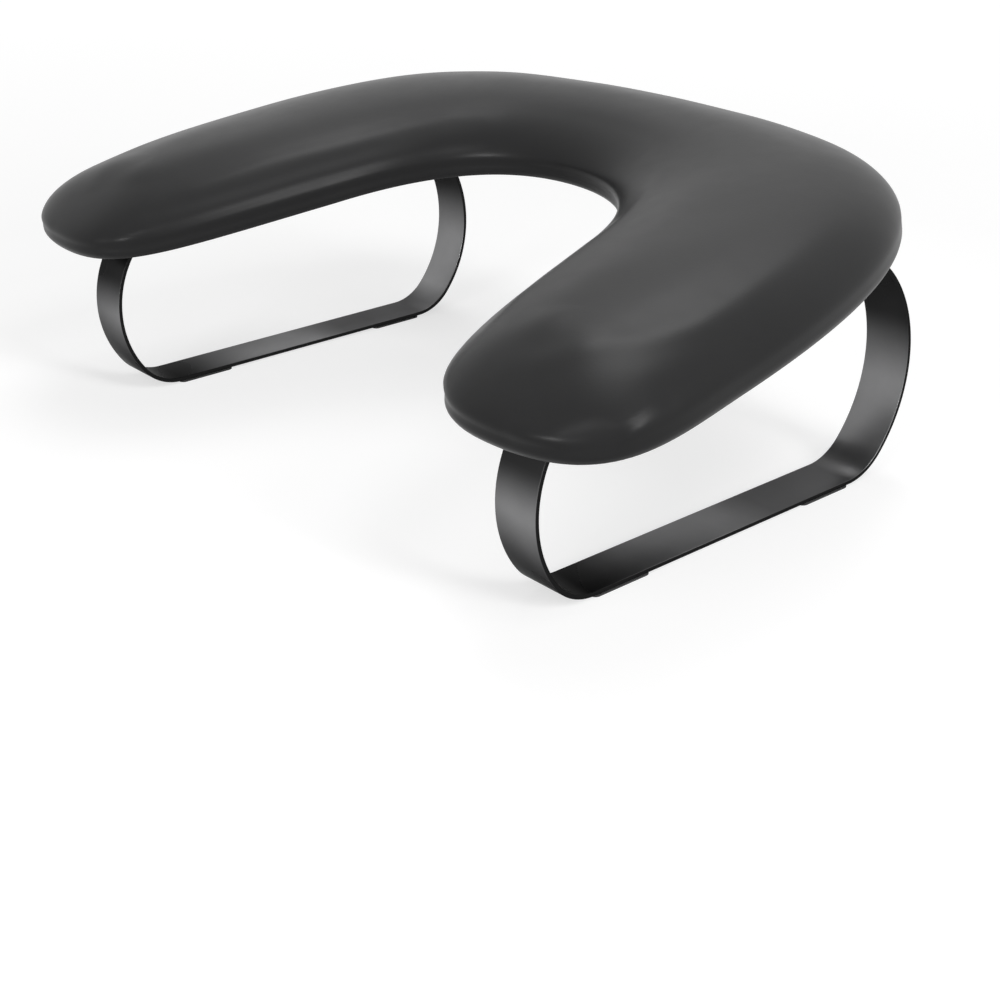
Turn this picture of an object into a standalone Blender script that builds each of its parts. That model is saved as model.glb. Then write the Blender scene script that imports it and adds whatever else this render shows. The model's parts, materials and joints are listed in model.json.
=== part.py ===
"""U-shaped padded arm rest on two closed loops of flat steel strip.

A flat board carries a crowned foam pad under one stretched leather cover, and the whole cushion
tilts down towards the tips of its arms. Metres, +Z up. X runs from the left arm to the right arm,
Y from the arm tips to the closed back of the U. The origin is on the floor, under the middle of
the object's bounding box. Sizes in the cushion are given in its own plane: q runs up the slope
from the tips to the back, and h is the height above the cushion's lower rim.
"""

import math
from typing import NamedTuple

import bmesh
import bpy
from mathutils import Matrix, Vector
from mathutils.geometry import interpolate_bezier, intersect_line_line_2d

MM = 0.001

# Clearances
SEAT_GAP = 0.3 * MM  # between two pieces that rest on each other or are glued
SHANK_CLEARANCE = 0.5 * MM  # round a screw's shank, all the way round its diameter
HEAD_CLEARANCE = 2.0 * MM  # the lining's hole is this much wider than a screw's shank

# Cushion, in its own plane
TILT = math.radians(9.4)  # slope of the cushion, high at the back
RIM_HEIGHT = 107.3 * MM  # lower rim above the floor, over the origin
HALF_WIDTH = 225.8 * MM  # from the middle to the outside of an arm
BACK_REACH = 148.0 * MM  # from the origin to the back edge
TIP_REACH = 147.2 * MM  # from the origin to the tip of an arm
BAY_REACH = 57.6 * MM  # from the origin to the bottom of the U notch
CORNER_IN = 47.0 * MM  # back corner, in from the arm's outside
CORNER_DOWN = 50.9 * MM  # back corner, forward of the back edge
CORNER_HEADING = math.radians(-48.7)
OUTSIDE_Q = -61.7 * MM  # where an arm is widest
OUTSIDE_HEADING = math.radians(-86.5)
TIP_IN = 56.2 * MM  # tip, in from the arm's outside
INSIDE_IN = 131.5 * MM  # inner side of an arm, in from its outside
INSIDE_Q = -29.9 * MM
INSIDE_HEADING = math.radians(105.4)
NOSE_LENGTH = 60.0 * MM  # from an arm's tip back to the middle of its rounded end

# Crown
CROWN_HEIGHT = 32.9 * MM  # full height above the lower rim, over the origin
CROWN_RUN = 62.4 * MM  # the crown is at its full height this far in from the rim
CREST_START = 0.5  # share of the way in from the rim where the crown starts to level off
CREST_FALL = 0.0124  # the crest comes down by this share of the way up the slope
TIP_THINNING = 0.27  # share of the height that the crest loses at a tip
THINNING_START_Q = -40.8 * MM
BAND_HEIGHT = 3.2 * MM  # the narrow band at the board's edge
BAND_LEAN = 1.9 * MM  # the cover stands this far outside its lower rim
CROWN_FULLNESS = 0.80  # below 1, the cushion's shoulders are fuller than an ellipse
SIDE_FULLNESS = 0.935

# Layers
COVER_THICKNESS = 1.0 * MM
COVER_HEM = 18.0 * MM  # the cover's turned-in width under the board
BOARD_THICKNESS = 7.0 * MM
BOARD_INSET = 1.6 * MM  # the board's edge, in from the cover's lower rim
LINING_THICKNESS = 0.5 * MM
LINING_INSET = 6.0 * MM

# Leg loops
STRIP_WIDTH = 25.0 * MM
STRIP_THICKNESS = 2.2 * MM
LEG_IN = 58.5 * MM  # middle of a leg, in from the cushion's widest point
FRONT_ARC_IN = 75.9 * MM  # middle of the front end's arc, behind the cushion's tip
FRONT_ARC_BULGE = 10.4 * MM  # the end arc's radius exceeds half the leg's height there by this
FRONT_ARC_DROP = 1.0 * MM  # the end arc's centre lies this far below half height
REAR_ARC_IN = 100.1 * MM  # middle of the rear end's arc, in front of the cushion's back
REAR_ARC_BULGE = 10.1 * MM
REAR_ARC_DROP = 2.0 * MM
FRONT_FLOOR_BEND = 28.0 * MM
REAR_FLOOR_BEND = 30.0 * MM
TOP_BEND = 22.0 * MM
PAD_THICKNESS = 1.0 * MM
PAD_LENGTH = 34.0 * MM
PAD_CORNER = 3.0 * MM

# Screws and their inserts
SCREW_DIAMETER = 5.0 * MM
SCREW_LENGTH = 12.0 * MM
HEAD_DIAMETER = 9.0 * MM
HEAD_HEIGHT = 3.2 * MM
SLOT_WIDTH = 1.3 * MM
SLOT_LENGTH = 5.0 * MM
SLOT_DEPTH = 1.6 * MM
FRONT_SCREW_IN = 52.3 * MM  # front screw, behind the cushion's tip
REAR_SCREW_IN = 90.4 * MM  # rear screw, in front of the cushion's back
INSERT_WALL = 0.8 * MM
FLANGE_DIAMETER = 17.0 * MM
FLANGE_THICKNESS = 1.2 * MM

# Fineness of the curved forms
OUTLINE_STEPS = 24
SPINE_STATIONS = 20
FAN_RAYS = 15
CROWN_LEVELS = 9
FOAM_LEVELS = 7
ARC_STEP = math.radians(6.0)
ROUND_SIDES = 20

# Heights of the layers above the cushion's lower rim
BOARD_BOTTOM = COVER_THICKNESS + SEAT_GAP
BOARD_TOP = BOARD_BOTTOM + BOARD_THICKNESS
FOAM_BOTTOM = BOARD_TOP + SEAT_GAP
LINING_TOP = -SEAT_GAP
LINING_BOTTOM = LINING_TOP - LINING_THICKNESS
STRIP_TOP = LINING_BOTTOM - SEAT_GAP
STRIP_UNDER = STRIP_TOP - STRIP_THICKNESS
LEG_X = HALF_WIDTH - LEG_IN
SCREW_QS = {"front": FRONT_SCREW_IN - TIP_REACH, "rear": BACK_REACH - REAR_SCREW_IN}
STRIP_FLOOR = PAD_THICKNESS + SEAT_GAP
SIDES = {"left": -1, "right": 1}

Material = bpy.types.Material
Point = tuple[float, float]


class Knot(NamedTuple):
    """One point of the cushion's outline: its place, its heading and its handles' lengths."""

    x: float
    q: float
    heading: float
    reach_in: float
    reach_out: float


class Ray(NamedTuple):
    """A line in the cushion's plane from its spine straight out to its lower rim.

    The half width is that of the arm at the ray's start, the same for all rays from there.
    """

    start: Vector
    heading: Vector
    reach: float
    half_width: float


def outline_knots() -> list[Knot]:
    """Right half of the lower rim, from the middle of the back round the arm to the notch."""
    return [
        Knot(0.0, BACK_REACH, 0.0, 0.0, 102.5 * MM),
        Knot(HALF_WIDTH - CORNER_IN, BACK_REACH - CORNER_DOWN, CORNER_HEADING, 45.2 * MM, 34.5 * MM),
        Knot(HALF_WIDTH, OUTSIDE_Q, OUTSIDE_HEADING, 90.1 * MM, 45.7 * MM),
        Knot(HALF_WIDTH - TIP_IN, -TIP_REACH, math.pi, 68.7 * MM, 49.5 * MM),
        Knot(HALF_WIDTH - INSIDE_IN, INSIDE_Q, INSIDE_HEADING, 87.5 * MM, 13.9 * MM),
        Knot(0.0, BAY_REACH, math.pi, 78.5 * MM, 0.0),
    ]


def towards(heading: float) -> Vector:
    """Unit vector of a heading in the cushion's plane."""
    return Vector((math.cos(heading), math.sin(heading)))


def rim_curve() -> list[Vector]:
    """Points along the right half of the lower rim."""
    knots = outline_knots()
    points: list[Vector] = []
    for start, end in zip(knots, knots[1:]):
        first = Vector((start.x, start.q))
        last = Vector((end.x, end.q))
        leave = first + towards(start.heading) * start.reach_out
        arrive = last - towards(end.heading) * end.reach_in
        stretch = interpolate_bezier(first, leave, arrive, last, OUTLINE_STEPS)
        points += [Vector(point[:2]) for point in stretch[:-1]]
    return points + [Vector((0.0, knots[-1].q))]


def evenly(points: list[Vector], count: int) -> list[Vector]:
    """The same line as count points at even spacing."""
    walked = [0.0]
    for a, b in zip(points, points[1:]):
        walked.append(walked[-1] + (b - a).length)
    found = []
    step = 0
    for index in range(count):
        want = walked[-1] * index / (count - 1)
        while step < len(points) - 2 and walked[step + 1] < want:
            step += 1
        share = (want - walked[step]) / (walked[step + 1] - walked[step])
        found.append(points[step].lerp(points[step + 1], share))
    return found


def spine(rim: list[Vector]) -> list[Vector]:
    """Middle line of the U, from the middle of the back to the centre of the arm's rounded end."""
    tip = min(range(len(rim)), key=lambda index: rim[index].y)
    nose_q = rim[tip].y + NOSE_LENGTH
    outer = [point for point in rim[:tip] if point.y > nose_q]
    inner = [point for point in rim[tip:] if point.y > nose_q][::-1]
    pairs = zip(evenly(outer, SPINE_STATIONS), evenly(inner, SPINE_STATIONS))
    middle = [(a + b) / 2 for a, b in pairs]
    return evenly(middle, SPINE_STATIONS)


def reach_to(rim: list[Vector], start: Vector, heading: Vector) -> float:
    """Distance from a point on the spine to the lower rim along a heading."""
    end = start + heading * (HALF_WIDTH + BACK_REACH)
    distances = []
    for a, b in zip(rim, rim[1:]):
        hit = intersect_line_line_2d(start, end, a, b)
        if hit is not None:
            distances.append((hit - start).length)
    return min(distances)


def cushion_rays() -> list[Ray]:
    """Rays of the right half, in order round the rim from the back to the notch."""
    half = rim_curve()
    mirrored = [Vector((-point.x, point.y)) for point in half]
    rim = half[::-1] + mirrored[1:] + [half[-1]]
    middle = spine(half)
    outward, inward = [], []
    for index, point in enumerate(middle):
        before = middle[max(index - 1, 0)]
        after = middle[min(index + 1, len(middle) - 1)]
        along = (after - before).normalized() if index else Vector((1.0, 0.0))
        across = Vector((-along.y, along.x))
        reaches = [reach_to(rim, point, across), reach_to(rim, point, -across)]
        half_width = sum(reaches) / 2
        outward.append(Ray(point, across, reaches[0], half_width))
        inward.append(Ray(point, -across, reaches[1], half_width))
    focus = outward[-1]
    fan = []
    for step in range(1, FAN_RAYS + 1):
        turn = Matrix.Rotation(-math.pi * step / (FAN_RAYS + 1), 2)
        heading = turn @ focus.heading
        reach = reach_to(rim, focus.start, heading)
        fan.append(Ray(focus.start, heading, reach, focus.half_width))
    return outward + fan + inward[::-1]


def full_height(q: float) -> float:
    """Height of the fully risen crown above the lower rim."""
    towards_tip = (THINNING_START_Q - q) / (THINNING_START_Q + TIP_REACH)
    taper = TIP_THINNING * min(max(towards_tip, 0.0), 1.0) ** 2
    return (CROWN_HEIGHT - CREST_FALL * q) * (1 - taper)


def crown_height(run: float, q: float) -> float:
    """Height of the cover a distance in from the rim, before it levels off at the crest."""
    share = min((run + BAND_LEAN) / (CROWN_RUN + BAND_LEAN), 1.0)
    angle = math.acos((1 - share) ** (1 / SIDE_FULLNESS))
    rise = (full_height(q) - BAND_HEIGHT) * math.sin(angle) ** CROWN_FULLNESS
    return BAND_HEIGHT + rise


def cover_section(ray: Ray) -> list[Point]:
    """Outside of the cover across one ray: (distance in from the rim, height)."""
    section = [(COVER_HEM, 0.0), (0.0, 0.0)]
    crest = crown_height(ray.half_width, ray.start.y)
    for level in range(CROWN_LEVELS):
        angle = math.pi / 2 * level / (CROWN_LEVELS - 1)
        way = 1 - math.cos(angle) if level < CROWN_LEVELS - 1 else 1.0
        run = (ray.reach + BAND_LEAN) * way - BAND_LEAN
        levelled = min(max((way - CREST_START) / (1 - CREST_START), 0.0), 1.0)
        levelled *= levelled * (3 - 2 * levelled)
        free = crown_height(run, ray.start.y + ray.heading.y * (ray.reach - run))
        section.append((run, free + (crest - free) * levelled))
    return section


def foam_section(ray: Ray) -> list[Point]:
    """Outside of the foam across one ray: the cover's section moved inwards, cut at the board."""
    crown = cover_section(ray)[1:]
    depth = COVER_THICKNESS + SEAT_GAP
    moved = []
    for index, (run, height) in enumerate(crown):
        before = Vector(crown[max(index - 1, 0)])
        after = Vector(crown[min(index + 1, len(crown) - 1)])
        along = (after - before).normalized()
        moved.append((run + along.y * depth, height - along.x * depth))
    moved[-1] = (ray.reach, crown[-1][1] - depth)
    first = next(index for index, point in enumerate(moved) if point[1] > FOAM_BOTTOM)
    low, high = moved[first - 1], moved[first]
    share = (FOAM_BOTTOM - low[1]) / (high[1] - low[1])
    base = (low[0] + (high[0] - low[0]) * share, FOAM_BOTTOM)
    line = [Vector(point) for point in [base] + moved[first:]]
    return [tuple(point) for point in evenly(line, FOAM_LEVELS)]


def plane_point(ray: Ray, run: float, height: float) -> Vector:
    """Point of a section in the cushion's own frame."""
    place = ray.start + ray.heading * (ray.reach - run)
    return Vector((place.x, place.y, height))


def ring(rays: list[Ray], inset: float) -> list[Point]:
    """Whole closed outline of a flat layer, this far in from the lower rim."""
    half = [ray.start + ray.heading * (ray.reach - inset) for ray in rays]
    half[0].x = 0.0
    half[-1].x = 0.0
    left = [Vector((-point.x, point.y)) for point in half[-2:0:-1]]
    return [tuple(point) for point in half + left]


def material(name: str, colour: tuple[float, float, float], rough: float, metal: float) -> Material:
    """A Principled BSDF with one colour."""
    made = bpy.data.materials.new(name)
    made.use_nodes = True
    shader = made.node_tree.nodes["Principled BSDF"]
    shader.inputs["Base Color"].default_value = (*colour, 1.0)
    shader.inputs["Roughness"].default_value = rough
    shader.inputs["Metallic"].default_value = metal
    return made


def add_object(name: str, mesh: bpy.types.Mesh, finish: Material, group, parent) -> bpy.types.Object:
    """Puts a mesh in the scene as a named piece."""
    piece = bpy.data.objects.new(name, mesh)
    if finish.name not in mesh.materials:
        mesh.materials.append(finish)
    group.objects.link(piece)
    piece.parent = parent
    return piece


def finish_mesh(name: str, bm: bmesh.types.BMesh) -> bpy.types.Mesh:
    """Turns a bmesh into a smooth-shaded mesh with its sharp edges kept."""
    mesh = bpy.data.meshes.new(name)
    bm.to_mesh(mesh)
    bm.free()
    mesh.shade_smooth()
    mesh.set_sharp_from_angle(angle=math.radians(35))
    return mesh


def draped_grid(rays: list[Ray], section_of) -> bmesh.types.BMesh:
    """A grid laid over the rays: its x picks the ray, and its y picks the point of the section."""
    sections = [section_of(ray) for ray in rays]
    across, along = len(sections[0]) - 1, len(rays) - 1
    bm = bmesh.new()
    bmesh.ops.create_grid(bm, x_segments=along, y_segments=across, size=0.5)
    for vert in bm.verts:
        index = round((vert.co.x + 0.5) * along)
        level = round((vert.co.y + 0.5) * across)
        vert.co = plane_point(rays[index], *sections[index][level])
        if index in (0, along):
            vert.co.x = 0.0
    bmesh.ops.remove_doubles(bm, verts=bm.verts, dist=0.01 * MM)
    return bm


def add_mirror(piece: bpy.types.Object) -> None:
    """Joins the right half to its mirror image at the middle plane."""
    mirror = piece.modifiers.new("Both arms", "MIRROR")
    mirror.use_axis = (True, False, False)
    mirror.use_mirror_merge = True
    mirror.merge_threshold = 0.00005


def add_cut(piece: bpy.types.Object, cutter: bpy.types.Object) -> None:
    """Cuts one shape out of a piece."""
    cut = piece.modifiers.new(cutter.name, "BOOLEAN")
    cut.operation = "DIFFERENCE"
    cut.solver = "EXACT"
    cut.object = cutter


def cover_mesh(rays: list[Ray]) -> bpy.types.Mesh:
    """Outside face of the cover's right half, from its hem over the crown to the crest."""
    bm = draped_grid(rays, cover_section)
    bmesh.ops.recalc_face_normals(bm, faces=bm.faces)
    if max(bm.faces, key=lambda face: face.calc_center_median().z).normal.z < 0:
        bmesh.ops.reverse_faces(bm, faces=bm.faces)
    return finish_mesh("cushion_cover", bm)


def foam_mesh(rays: list[Ray]) -> bpy.types.Mesh:
    """Right half of the foam, open at the middle plane."""
    bm = draped_grid(rays, foam_section)
    base = [edge for edge in bm.edges if edge.is_boundary and lies_at(edge, FOAM_BOTTOM)]
    ends = sorted({vert for edge in base for vert in edge.verts}, key=lambda vert: abs(vert.co.x))[:2]
    closing = bm.edges.new(ends)
    bmesh.ops.contextual_create(bm, geom=base + [closing])
    bmesh.ops.recalc_face_normals(bm, faces=bm.faces)
    if max(bm.faces, key=lambda face: face.calc_center_median().z).normal.z < 0:
        bmesh.ops.reverse_faces(bm, faces=bm.faces)
    return finish_mesh("foam_pad", bm)


def lies_at(edge: bmesh.types.BMEdge, height: float) -> bool:
    """Whether both ends of an edge are at a height."""
    return all(abs(vert.co.z - height) < 0.01 * MM for vert in edge.verts)


def flat_mesh(name: str, outline: list[Point], bottom: float, top: float) -> bpy.types.Mesh:
    """A flat layer: a closed outline with a thickness, between two heights."""
    curve = bpy.data.curves.new(name, "CURVE")
    curve.dimensions = "2D"
    curve.fill_mode = "BOTH"
    curve.extrude = (top - bottom) / 2
    spline = curve.splines.new("POLY")
    spline.points.add(len(outline) - 1)
    for point, (x, q) in zip(spline.points, outline):
        point.co = (x, q, 0.0, 1.0)
    spline.use_cyclic_u = True
    helper = bpy.data.objects.new(name + "_curve", curve)
    bpy.context.scene.collection.objects.link(helper)
    graph = bpy.context.evaluated_depsgraph_get()
    mesh = bpy.data.meshes.new_from_object(helper.evaluated_get(graph))
    bpy.data.objects.remove(helper)
    bpy.data.curves.remove(curve)
    bm = bmesh.new()
    bm.from_mesh(mesh)
    bpy.data.meshes.remove(mesh)
    bmesh.ops.remove_doubles(bm, verts=bm.verts, dist=0.01 * MM)
    bmesh.ops.translate(bm, verts=bm.verts, vec=(0.0, 0.0, (bottom + top) / 2))
    bmesh.ops.recalc_face_normals(bm, faces=bm.faces)
    return finish_mesh(name, bm)


def rod(name: str, diameter: float, bottom: float, top: float) -> bpy.types.Mesh:
    """A plain round bar along h, for holes."""
    bm = bmesh.new()
    bmesh.ops.create_cone(
        bm,
        cap_ends=True,
        segments=ROUND_SIDES,
        radius1=diameter / 2,
        radius2=diameter / 2,
        depth=top - bottom,
        matrix=Matrix.Translation((0.0, 0.0, (bottom + top) / 2)),
    )
    return finish_mesh(name, bm)


def strip_height(y: float) -> float:
    """Height above the floor of the upper face of a leg's top run."""
    return RIM_HEIGHT + y * math.tan(TILT) + STRIP_TOP / math.cos(TILT)


def end_arc(y: float, bulge: float, drop: float, floor_bend: float, facing: int) -> list[Point]:
    """One rounded end of a leg, from its flat run up to its top run, as (y, z) points.

    A large arc stands between two tighter bends, one into the floor run and one into the top run.
    """
    low = STRIP_FLOOR
    half_height = (strip_height(y) - low) / 2
    centre = Vector((y, low + half_height - drop))
    radius = half_height + bulge
    top_normal = Vector((-math.sin(TILT), math.cos(TILT)))
    top_along = Vector((math.cos(TILT), math.sin(TILT)))
    below_top = (strip_height(y) - centre.y) * math.cos(TILT) - TOP_BEND
    floor_centre = Vector((0.0, low + floor_bend))
    floor_fall = centre.y - floor_centre.y
    floor_centre.x = y + facing * math.sqrt((radius - floor_bend) ** 2 - floor_fall**2)
    top_run = math.sqrt((radius - TOP_BEND) ** 2 - below_top**2)
    top_centre = centre + top_normal * below_top + top_along * facing * top_run
    start = -math.pi / 2
    first = angle_of(floor_centre - centre, facing)
    second = angle_of(top_centre - centre, facing)
    last = angle_of(top_normal, facing)
    points = arc(floor_centre, floor_bend, start, first, facing)
    points += arc(centre, radius, first, second, facing)[1:]
    points += arc(top_centre, TOP_BEND, second, last, facing)[1:]
    return points


def angle_of(way: Vector, facing: int) -> float:
    """Angle of a direction, measured from the horizontal on the side that an end faces."""
    return math.atan2(way.y, way.x * facing)


def arc(centre: Vector, radius: float, start: float, end: float, facing: int) -> list[Point]:
    """Points of an arc on the side that an end faces."""
    steps = max(2, round((end - start) / ARC_STEP))
    points = []
    for step in range(steps + 1):
        angle = start + (end - start) * step / steps
        way = Vector((facing * math.cos(angle), math.sin(angle)))
        points.append(tuple(centre + way * radius))
    return points


def leg_path() -> list[Point]:
    """Outer side of a leg's strip as one closed loop of (y, z) points."""
    front_y, rear_y = FRONT_ARC_IN - TIP_REACH, BACK_REACH - REAR_ARC_IN
    front = end_arc(front_y, FRONT_ARC_BULGE, FRONT_ARC_DROP, FRONT_FLOOR_BEND, -1)
    rear = end_arc(rear_y, REAR_ARC_BULGE, REAR_ARC_DROP, REAR_FLOOR_BEND, 1)
    return rear + front[::-1]


def leg_mesh(path: list[Point]) -> bpy.types.Mesh:
    """Outer face of a leg's strip, across its width and all the way round its loop."""
    bm = bmesh.new()
    bmesh.ops.create_grid(bm, x_segments=len(path), y_segments=1, size=0.5)
    for vert in bm.verts:
        y, z = path[round((vert.co.x + 0.5) * len(path)) % len(path)]
        vert.co = Vector((math.copysign(STRIP_WIDTH / 2, vert.co.y), y, z))
    bmesh.ops.remove_doubles(bm, verts=bm.verts, dist=0.01 * MM)
    bmesh.ops.recalc_face_normals(bm, faces=bm.faces)
    if min(bm.faces, key=lambda face: face.calc_center_median().z).normal.z > 0:
        bmesh.ops.reverse_faces(bm, faces=bm.faces)
    return finish_mesh("leg_strip", bm)


def turned_mesh(name: str, profile: list[Point], closed: bool) -> bpy.types.Mesh:
    """A profile of (radius, height) points as edges, for a Screw modifier to turn."""
    bm = bmesh.new()
    verts = [bm.verts.new((radius, 0.0, height)) for radius, height in profile]
    for a, b in zip(verts, verts[1:]):
        bm.edges.new((a, b))
    if closed:
        bm.edges.new((verts[-1], verts[0]))
    mesh = bpy.data.meshes.new(name)
    bm.to_mesh(mesh)
    bm.free()
    return mesh


def add_turning(piece: bpy.types.Object) -> None:
    """Turns a piece's profile all the way round its own axis."""
    turning = piece.modifiers.new("Turned", "SCREW")
    turning.angle = 2 * math.pi
    turning.steps = ROUND_SIDES
    turning.render_steps = ROUND_SIDES
    turning.use_merge_vertices = True
    turning.merge_threshold = 0.00001
    turning.use_smooth_shade = True


def screw_profile() -> list[Point]:
    """Outside of a domed screw, from the end of its shank down to the middle of its head."""
    seat = STRIP_UNDER - SEAT_GAP
    shank = SCREW_DIAMETER / 2
    lead = 0.6 * MM
    top = seat + SCREW_LENGTH
    points = [(0.0, top), (shank - lead, top), (shank, top - lead), (shank, seat)]
    points.append((HEAD_DIAMETER / 2, seat))
    dome_steps = 4
    edge = 0.25 * HEAD_HEIGHT
    for step in range(dome_steps + 1):
        angle = math.pi / 2 * step / dome_steps
        radius = HEAD_DIAMETER / 2 * math.cos(angle)
        drop = edge + (HEAD_HEIGHT - edge) * math.sin(angle)
        points.append((radius if step < dome_steps else 0.0, seat - drop))
    return points


def insert_profile() -> list[Point]:
    """Section of a flanged insert: its barrel in the board, its flange on the board's top."""
    bore = (SCREW_DIAMETER + SHANK_CLEARANCE) / 2
    barrel = bore + INSERT_WALL
    flange_bottom = BOARD_TOP + SEAT_GAP
    return [
        (bore, flange_bottom + FLANGE_THICKNESS),
        (FLANGE_DIAMETER / 2, flange_bottom + FLANGE_THICKNESS),
        (FLANGE_DIAMETER / 2, flange_bottom),
        (barrel, flange_bottom),
        (barrel, BOARD_BOTTOM + SEAT_GAP),
        (bore, BOARD_BOTTOM + SEAT_GAP),
    ]


def slot_cutter(turned: bool) -> bpy.types.Mesh:
    """One arm of the cross recess in a screw's head."""
    bm = bmesh.new()
    bottom = STRIP_UNDER - SEAT_GAP - HEAD_HEIGHT
    size = (SLOT_WIDTH, SLOT_LENGTH) if turned else (SLOT_LENGTH, SLOT_WIDTH)
    bmesh.ops.create_cube(bm, size=1.0)
    bmesh.ops.scale(bm, verts=bm.verts, vec=(*size, 2 * SLOT_DEPTH))
    bmesh.ops.translate(bm, verts=bm.verts, vec=(0.0, 0.0, bottom))
    return finish_mesh("slot", bm)


def pad_mesh(y_start: float, y_end: float) -> bpy.types.Mesh:
    """A thin pad with rounded corners under a leg's flat run."""
    bm = bmesh.new()
    bmesh.ops.create_cube(bm, size=1.0)
    bmesh.ops.scale(bm, verts=bm.verts, vec=(STRIP_WIDTH, y_end - y_start, PAD_THICKNESS))
    bmesh.ops.translate(bm, verts=bm.verts, vec=(0.0, (y_start + y_end) / 2, PAD_THICKNESS / 2))
    uprights = [edge for edge in bm.edges if abs(edge.verts[0].co.z - edge.verts[1].co.z) > 0.1 * MM]
    bmesh.ops.bevel(
        bm, geom=uprights, offset=PAD_CORNER, segments=4, profile=0.5, affect="EDGES", material=-1
    )
    return finish_mesh("pad", bm)


def clear_scene() -> None:
    """Removes every object of the open scene."""
    for piece in list(bpy.data.objects):
        bpy.data.objects.remove(piece)


def new_group(name: str) -> bpy.types.Collection:
    """A collection in the scene."""
    group = bpy.data.collections.new(name)
    bpy.context.scene.collection.children.link(group)
    return group


def add_cutter(name: str, mesh: bpy.types.Mesh, group, parent, place: Vector) -> bpy.types.Object:
    """A shape that is only cut away from others."""
    cutter = bpy.data.objects.new(name, mesh)
    group.objects.link(cutter)
    cutter.parent = parent
    cutter.location = place
    cutter.hide_render = True
    cutter.display_type = "WIRE"
    return cutter


def build_cushion(group, frame) -> dict[str, bpy.types.Object]:
    """The cushion's layers, in its tilted frame."""
    leather = material("black_leather", (0.045, 0.045, 0.047), 0.42, 0.0)
    foam = material("cream_foam", (0.80, 0.74, 0.58), 0.95, 0.0)
    wood = material("board_wood", (0.47, 0.33, 0.20), 0.70, 0.0)
    cloth = material("black_lining", (0.025, 0.025, 0.027), 0.90, 0.0)
    rays = cushion_rays()

    cover = add_object("cushion_cover", cover_mesh(rays), leather, group, frame)
    add_mirror(cover)
    wall = cover.modifiers.new("Leather", "SOLIDIFY")
    wall.thickness = COVER_THICKNESS
    wall.offset = -1.0
    wall.use_even_offset = True

    core = add_object("foam_pad", foam_mesh(rays), foam, group, frame)
    add_mirror(core)

    board_outline = ring(rays, BOARD_INSET)
    board = add_object(
        "base_board", flat_mesh("base_board", board_outline, BOARD_BOTTOM, BOARD_TOP), wood, group, frame
    )
    lining_outline = ring(rays, LINING_INSET)
    lining = add_object(
        "bottom_lining",
        flat_mesh("bottom_lining", lining_outline, LINING_BOTTOM, LINING_TOP),
        cloth,
        group,
        frame,
    )
    return {"foam": core, "board": board, "lining": lining}


def build_legs(group, root) -> dict[str, bpy.types.Object]:
    """Two strip loops and the pads under them."""
    steel = material("black_steel", (0.03, 0.03, 0.032), 0.38, 0.6)
    rubber = material("pad_rubber", (0.02, 0.02, 0.02), 0.85, 0.0)
    path = leg_path()
    strip = leg_mesh(path)
    flat = [y for y, z in path if abs(z - STRIP_FLOOR) < 0.01 * MM]
    spans = {
        "front": (min(flat), min(flat) + PAD_LENGTH),
        "rear": (max(flat) - PAD_LENGTH, max(flat)),
    }
    pads = {end: pad_mesh(*span) for end, span in spans.items()}
    legs = {}
    for side, sign in SIDES.items():
        leg = add_object(f"{side}_leg", strip, steel, group, root)
        leg.location.x = sign * LEG_X
        wall = leg.modifiers.new("Strip", "SOLIDIFY")
        wall.thickness = STRIP_THICKNESS
        wall.offset = -1.0
        wall.use_even_offset = True
        legs[side] = leg
        for end, mesh in pads.items():
            pad = add_object(f"{side}_{end}_pad", mesh, rubber, group, root)
            pad.location.x = sign * LEG_X
    return legs


def build_fasteners(group, cutters, frame, legs, layers) -> None:
    """Screws through the legs into inserts in the board, with the holes that they pass through."""
    zinc = material("zinc_steel", (0.55, 0.55, 0.56), 0.35, 1.0)
    screw_mesh = turned_mesh("leg_screw", screw_profile(), closed=False)
    insert_mesh = turned_mesh("insert", insert_profile(), closed=True)
    barrel = SCREW_DIAMETER + SHANK_CLEARANCE + 2 * INSERT_WALL
    shank_hole = SCREW_DIAMETER + SHANK_CLEARANCE
    over_flange = BOARD_TOP + FLANGE_THICKNESS + 2 * SEAT_GAP
    holes = {
        "strip": rod("strip_hole", shank_hole, STRIP_UNDER - MM, STRIP_TOP + SEAT_GAP / 2),
        "lining": rod("lining_hole", SCREW_DIAMETER + HEAD_CLEARANCE, LINING_BOTTOM - MM, MM / 2),
        "board": rod("board_hole", barrel + 2 * SEAT_GAP, BOARD_BOTTOM - MM / 2, BOARD_TOP + MM),
        "foam": rod("foam_dent", FLANGE_DIAMETER + 2 * SEAT_GAP, FOAM_BOTTOM - MM, over_flange),
    }
    slots = [slot_cutter(turned) for turned in (False, True)]
    for side, sign in SIDES.items():
        for end, q in SCREW_QS.items():
            place = Vector((sign * LEG_X, q, 0.0))
            where = f"{side}_{end}"
            cut = {
                name: add_cutter(f"{where}_{name}_hole", mesh, cutters, frame, place)
                for name, mesh in holes.items()
            }
            add_cut(legs[side], cut["strip"])
            add_cut(layers["lining"], cut["lining"])
            add_cut(layers["board"], cut["board"])
            add_cut(layers["foam"], cut["foam"])
            screw = add_object(f"{where}_screw", screw_mesh, zinc, group, frame)
            screw.location = place
            add_turning(screw)
            for number, mesh in enumerate(slots):
                add_cut(screw, add_cutter(f"{where}_slot_{number}", mesh, cutters, frame, place))
            insert = add_object(f"{where}_insert", insert_mesh, zinc, group, frame)
            insert.location = place
            add_turning(insert)


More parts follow.
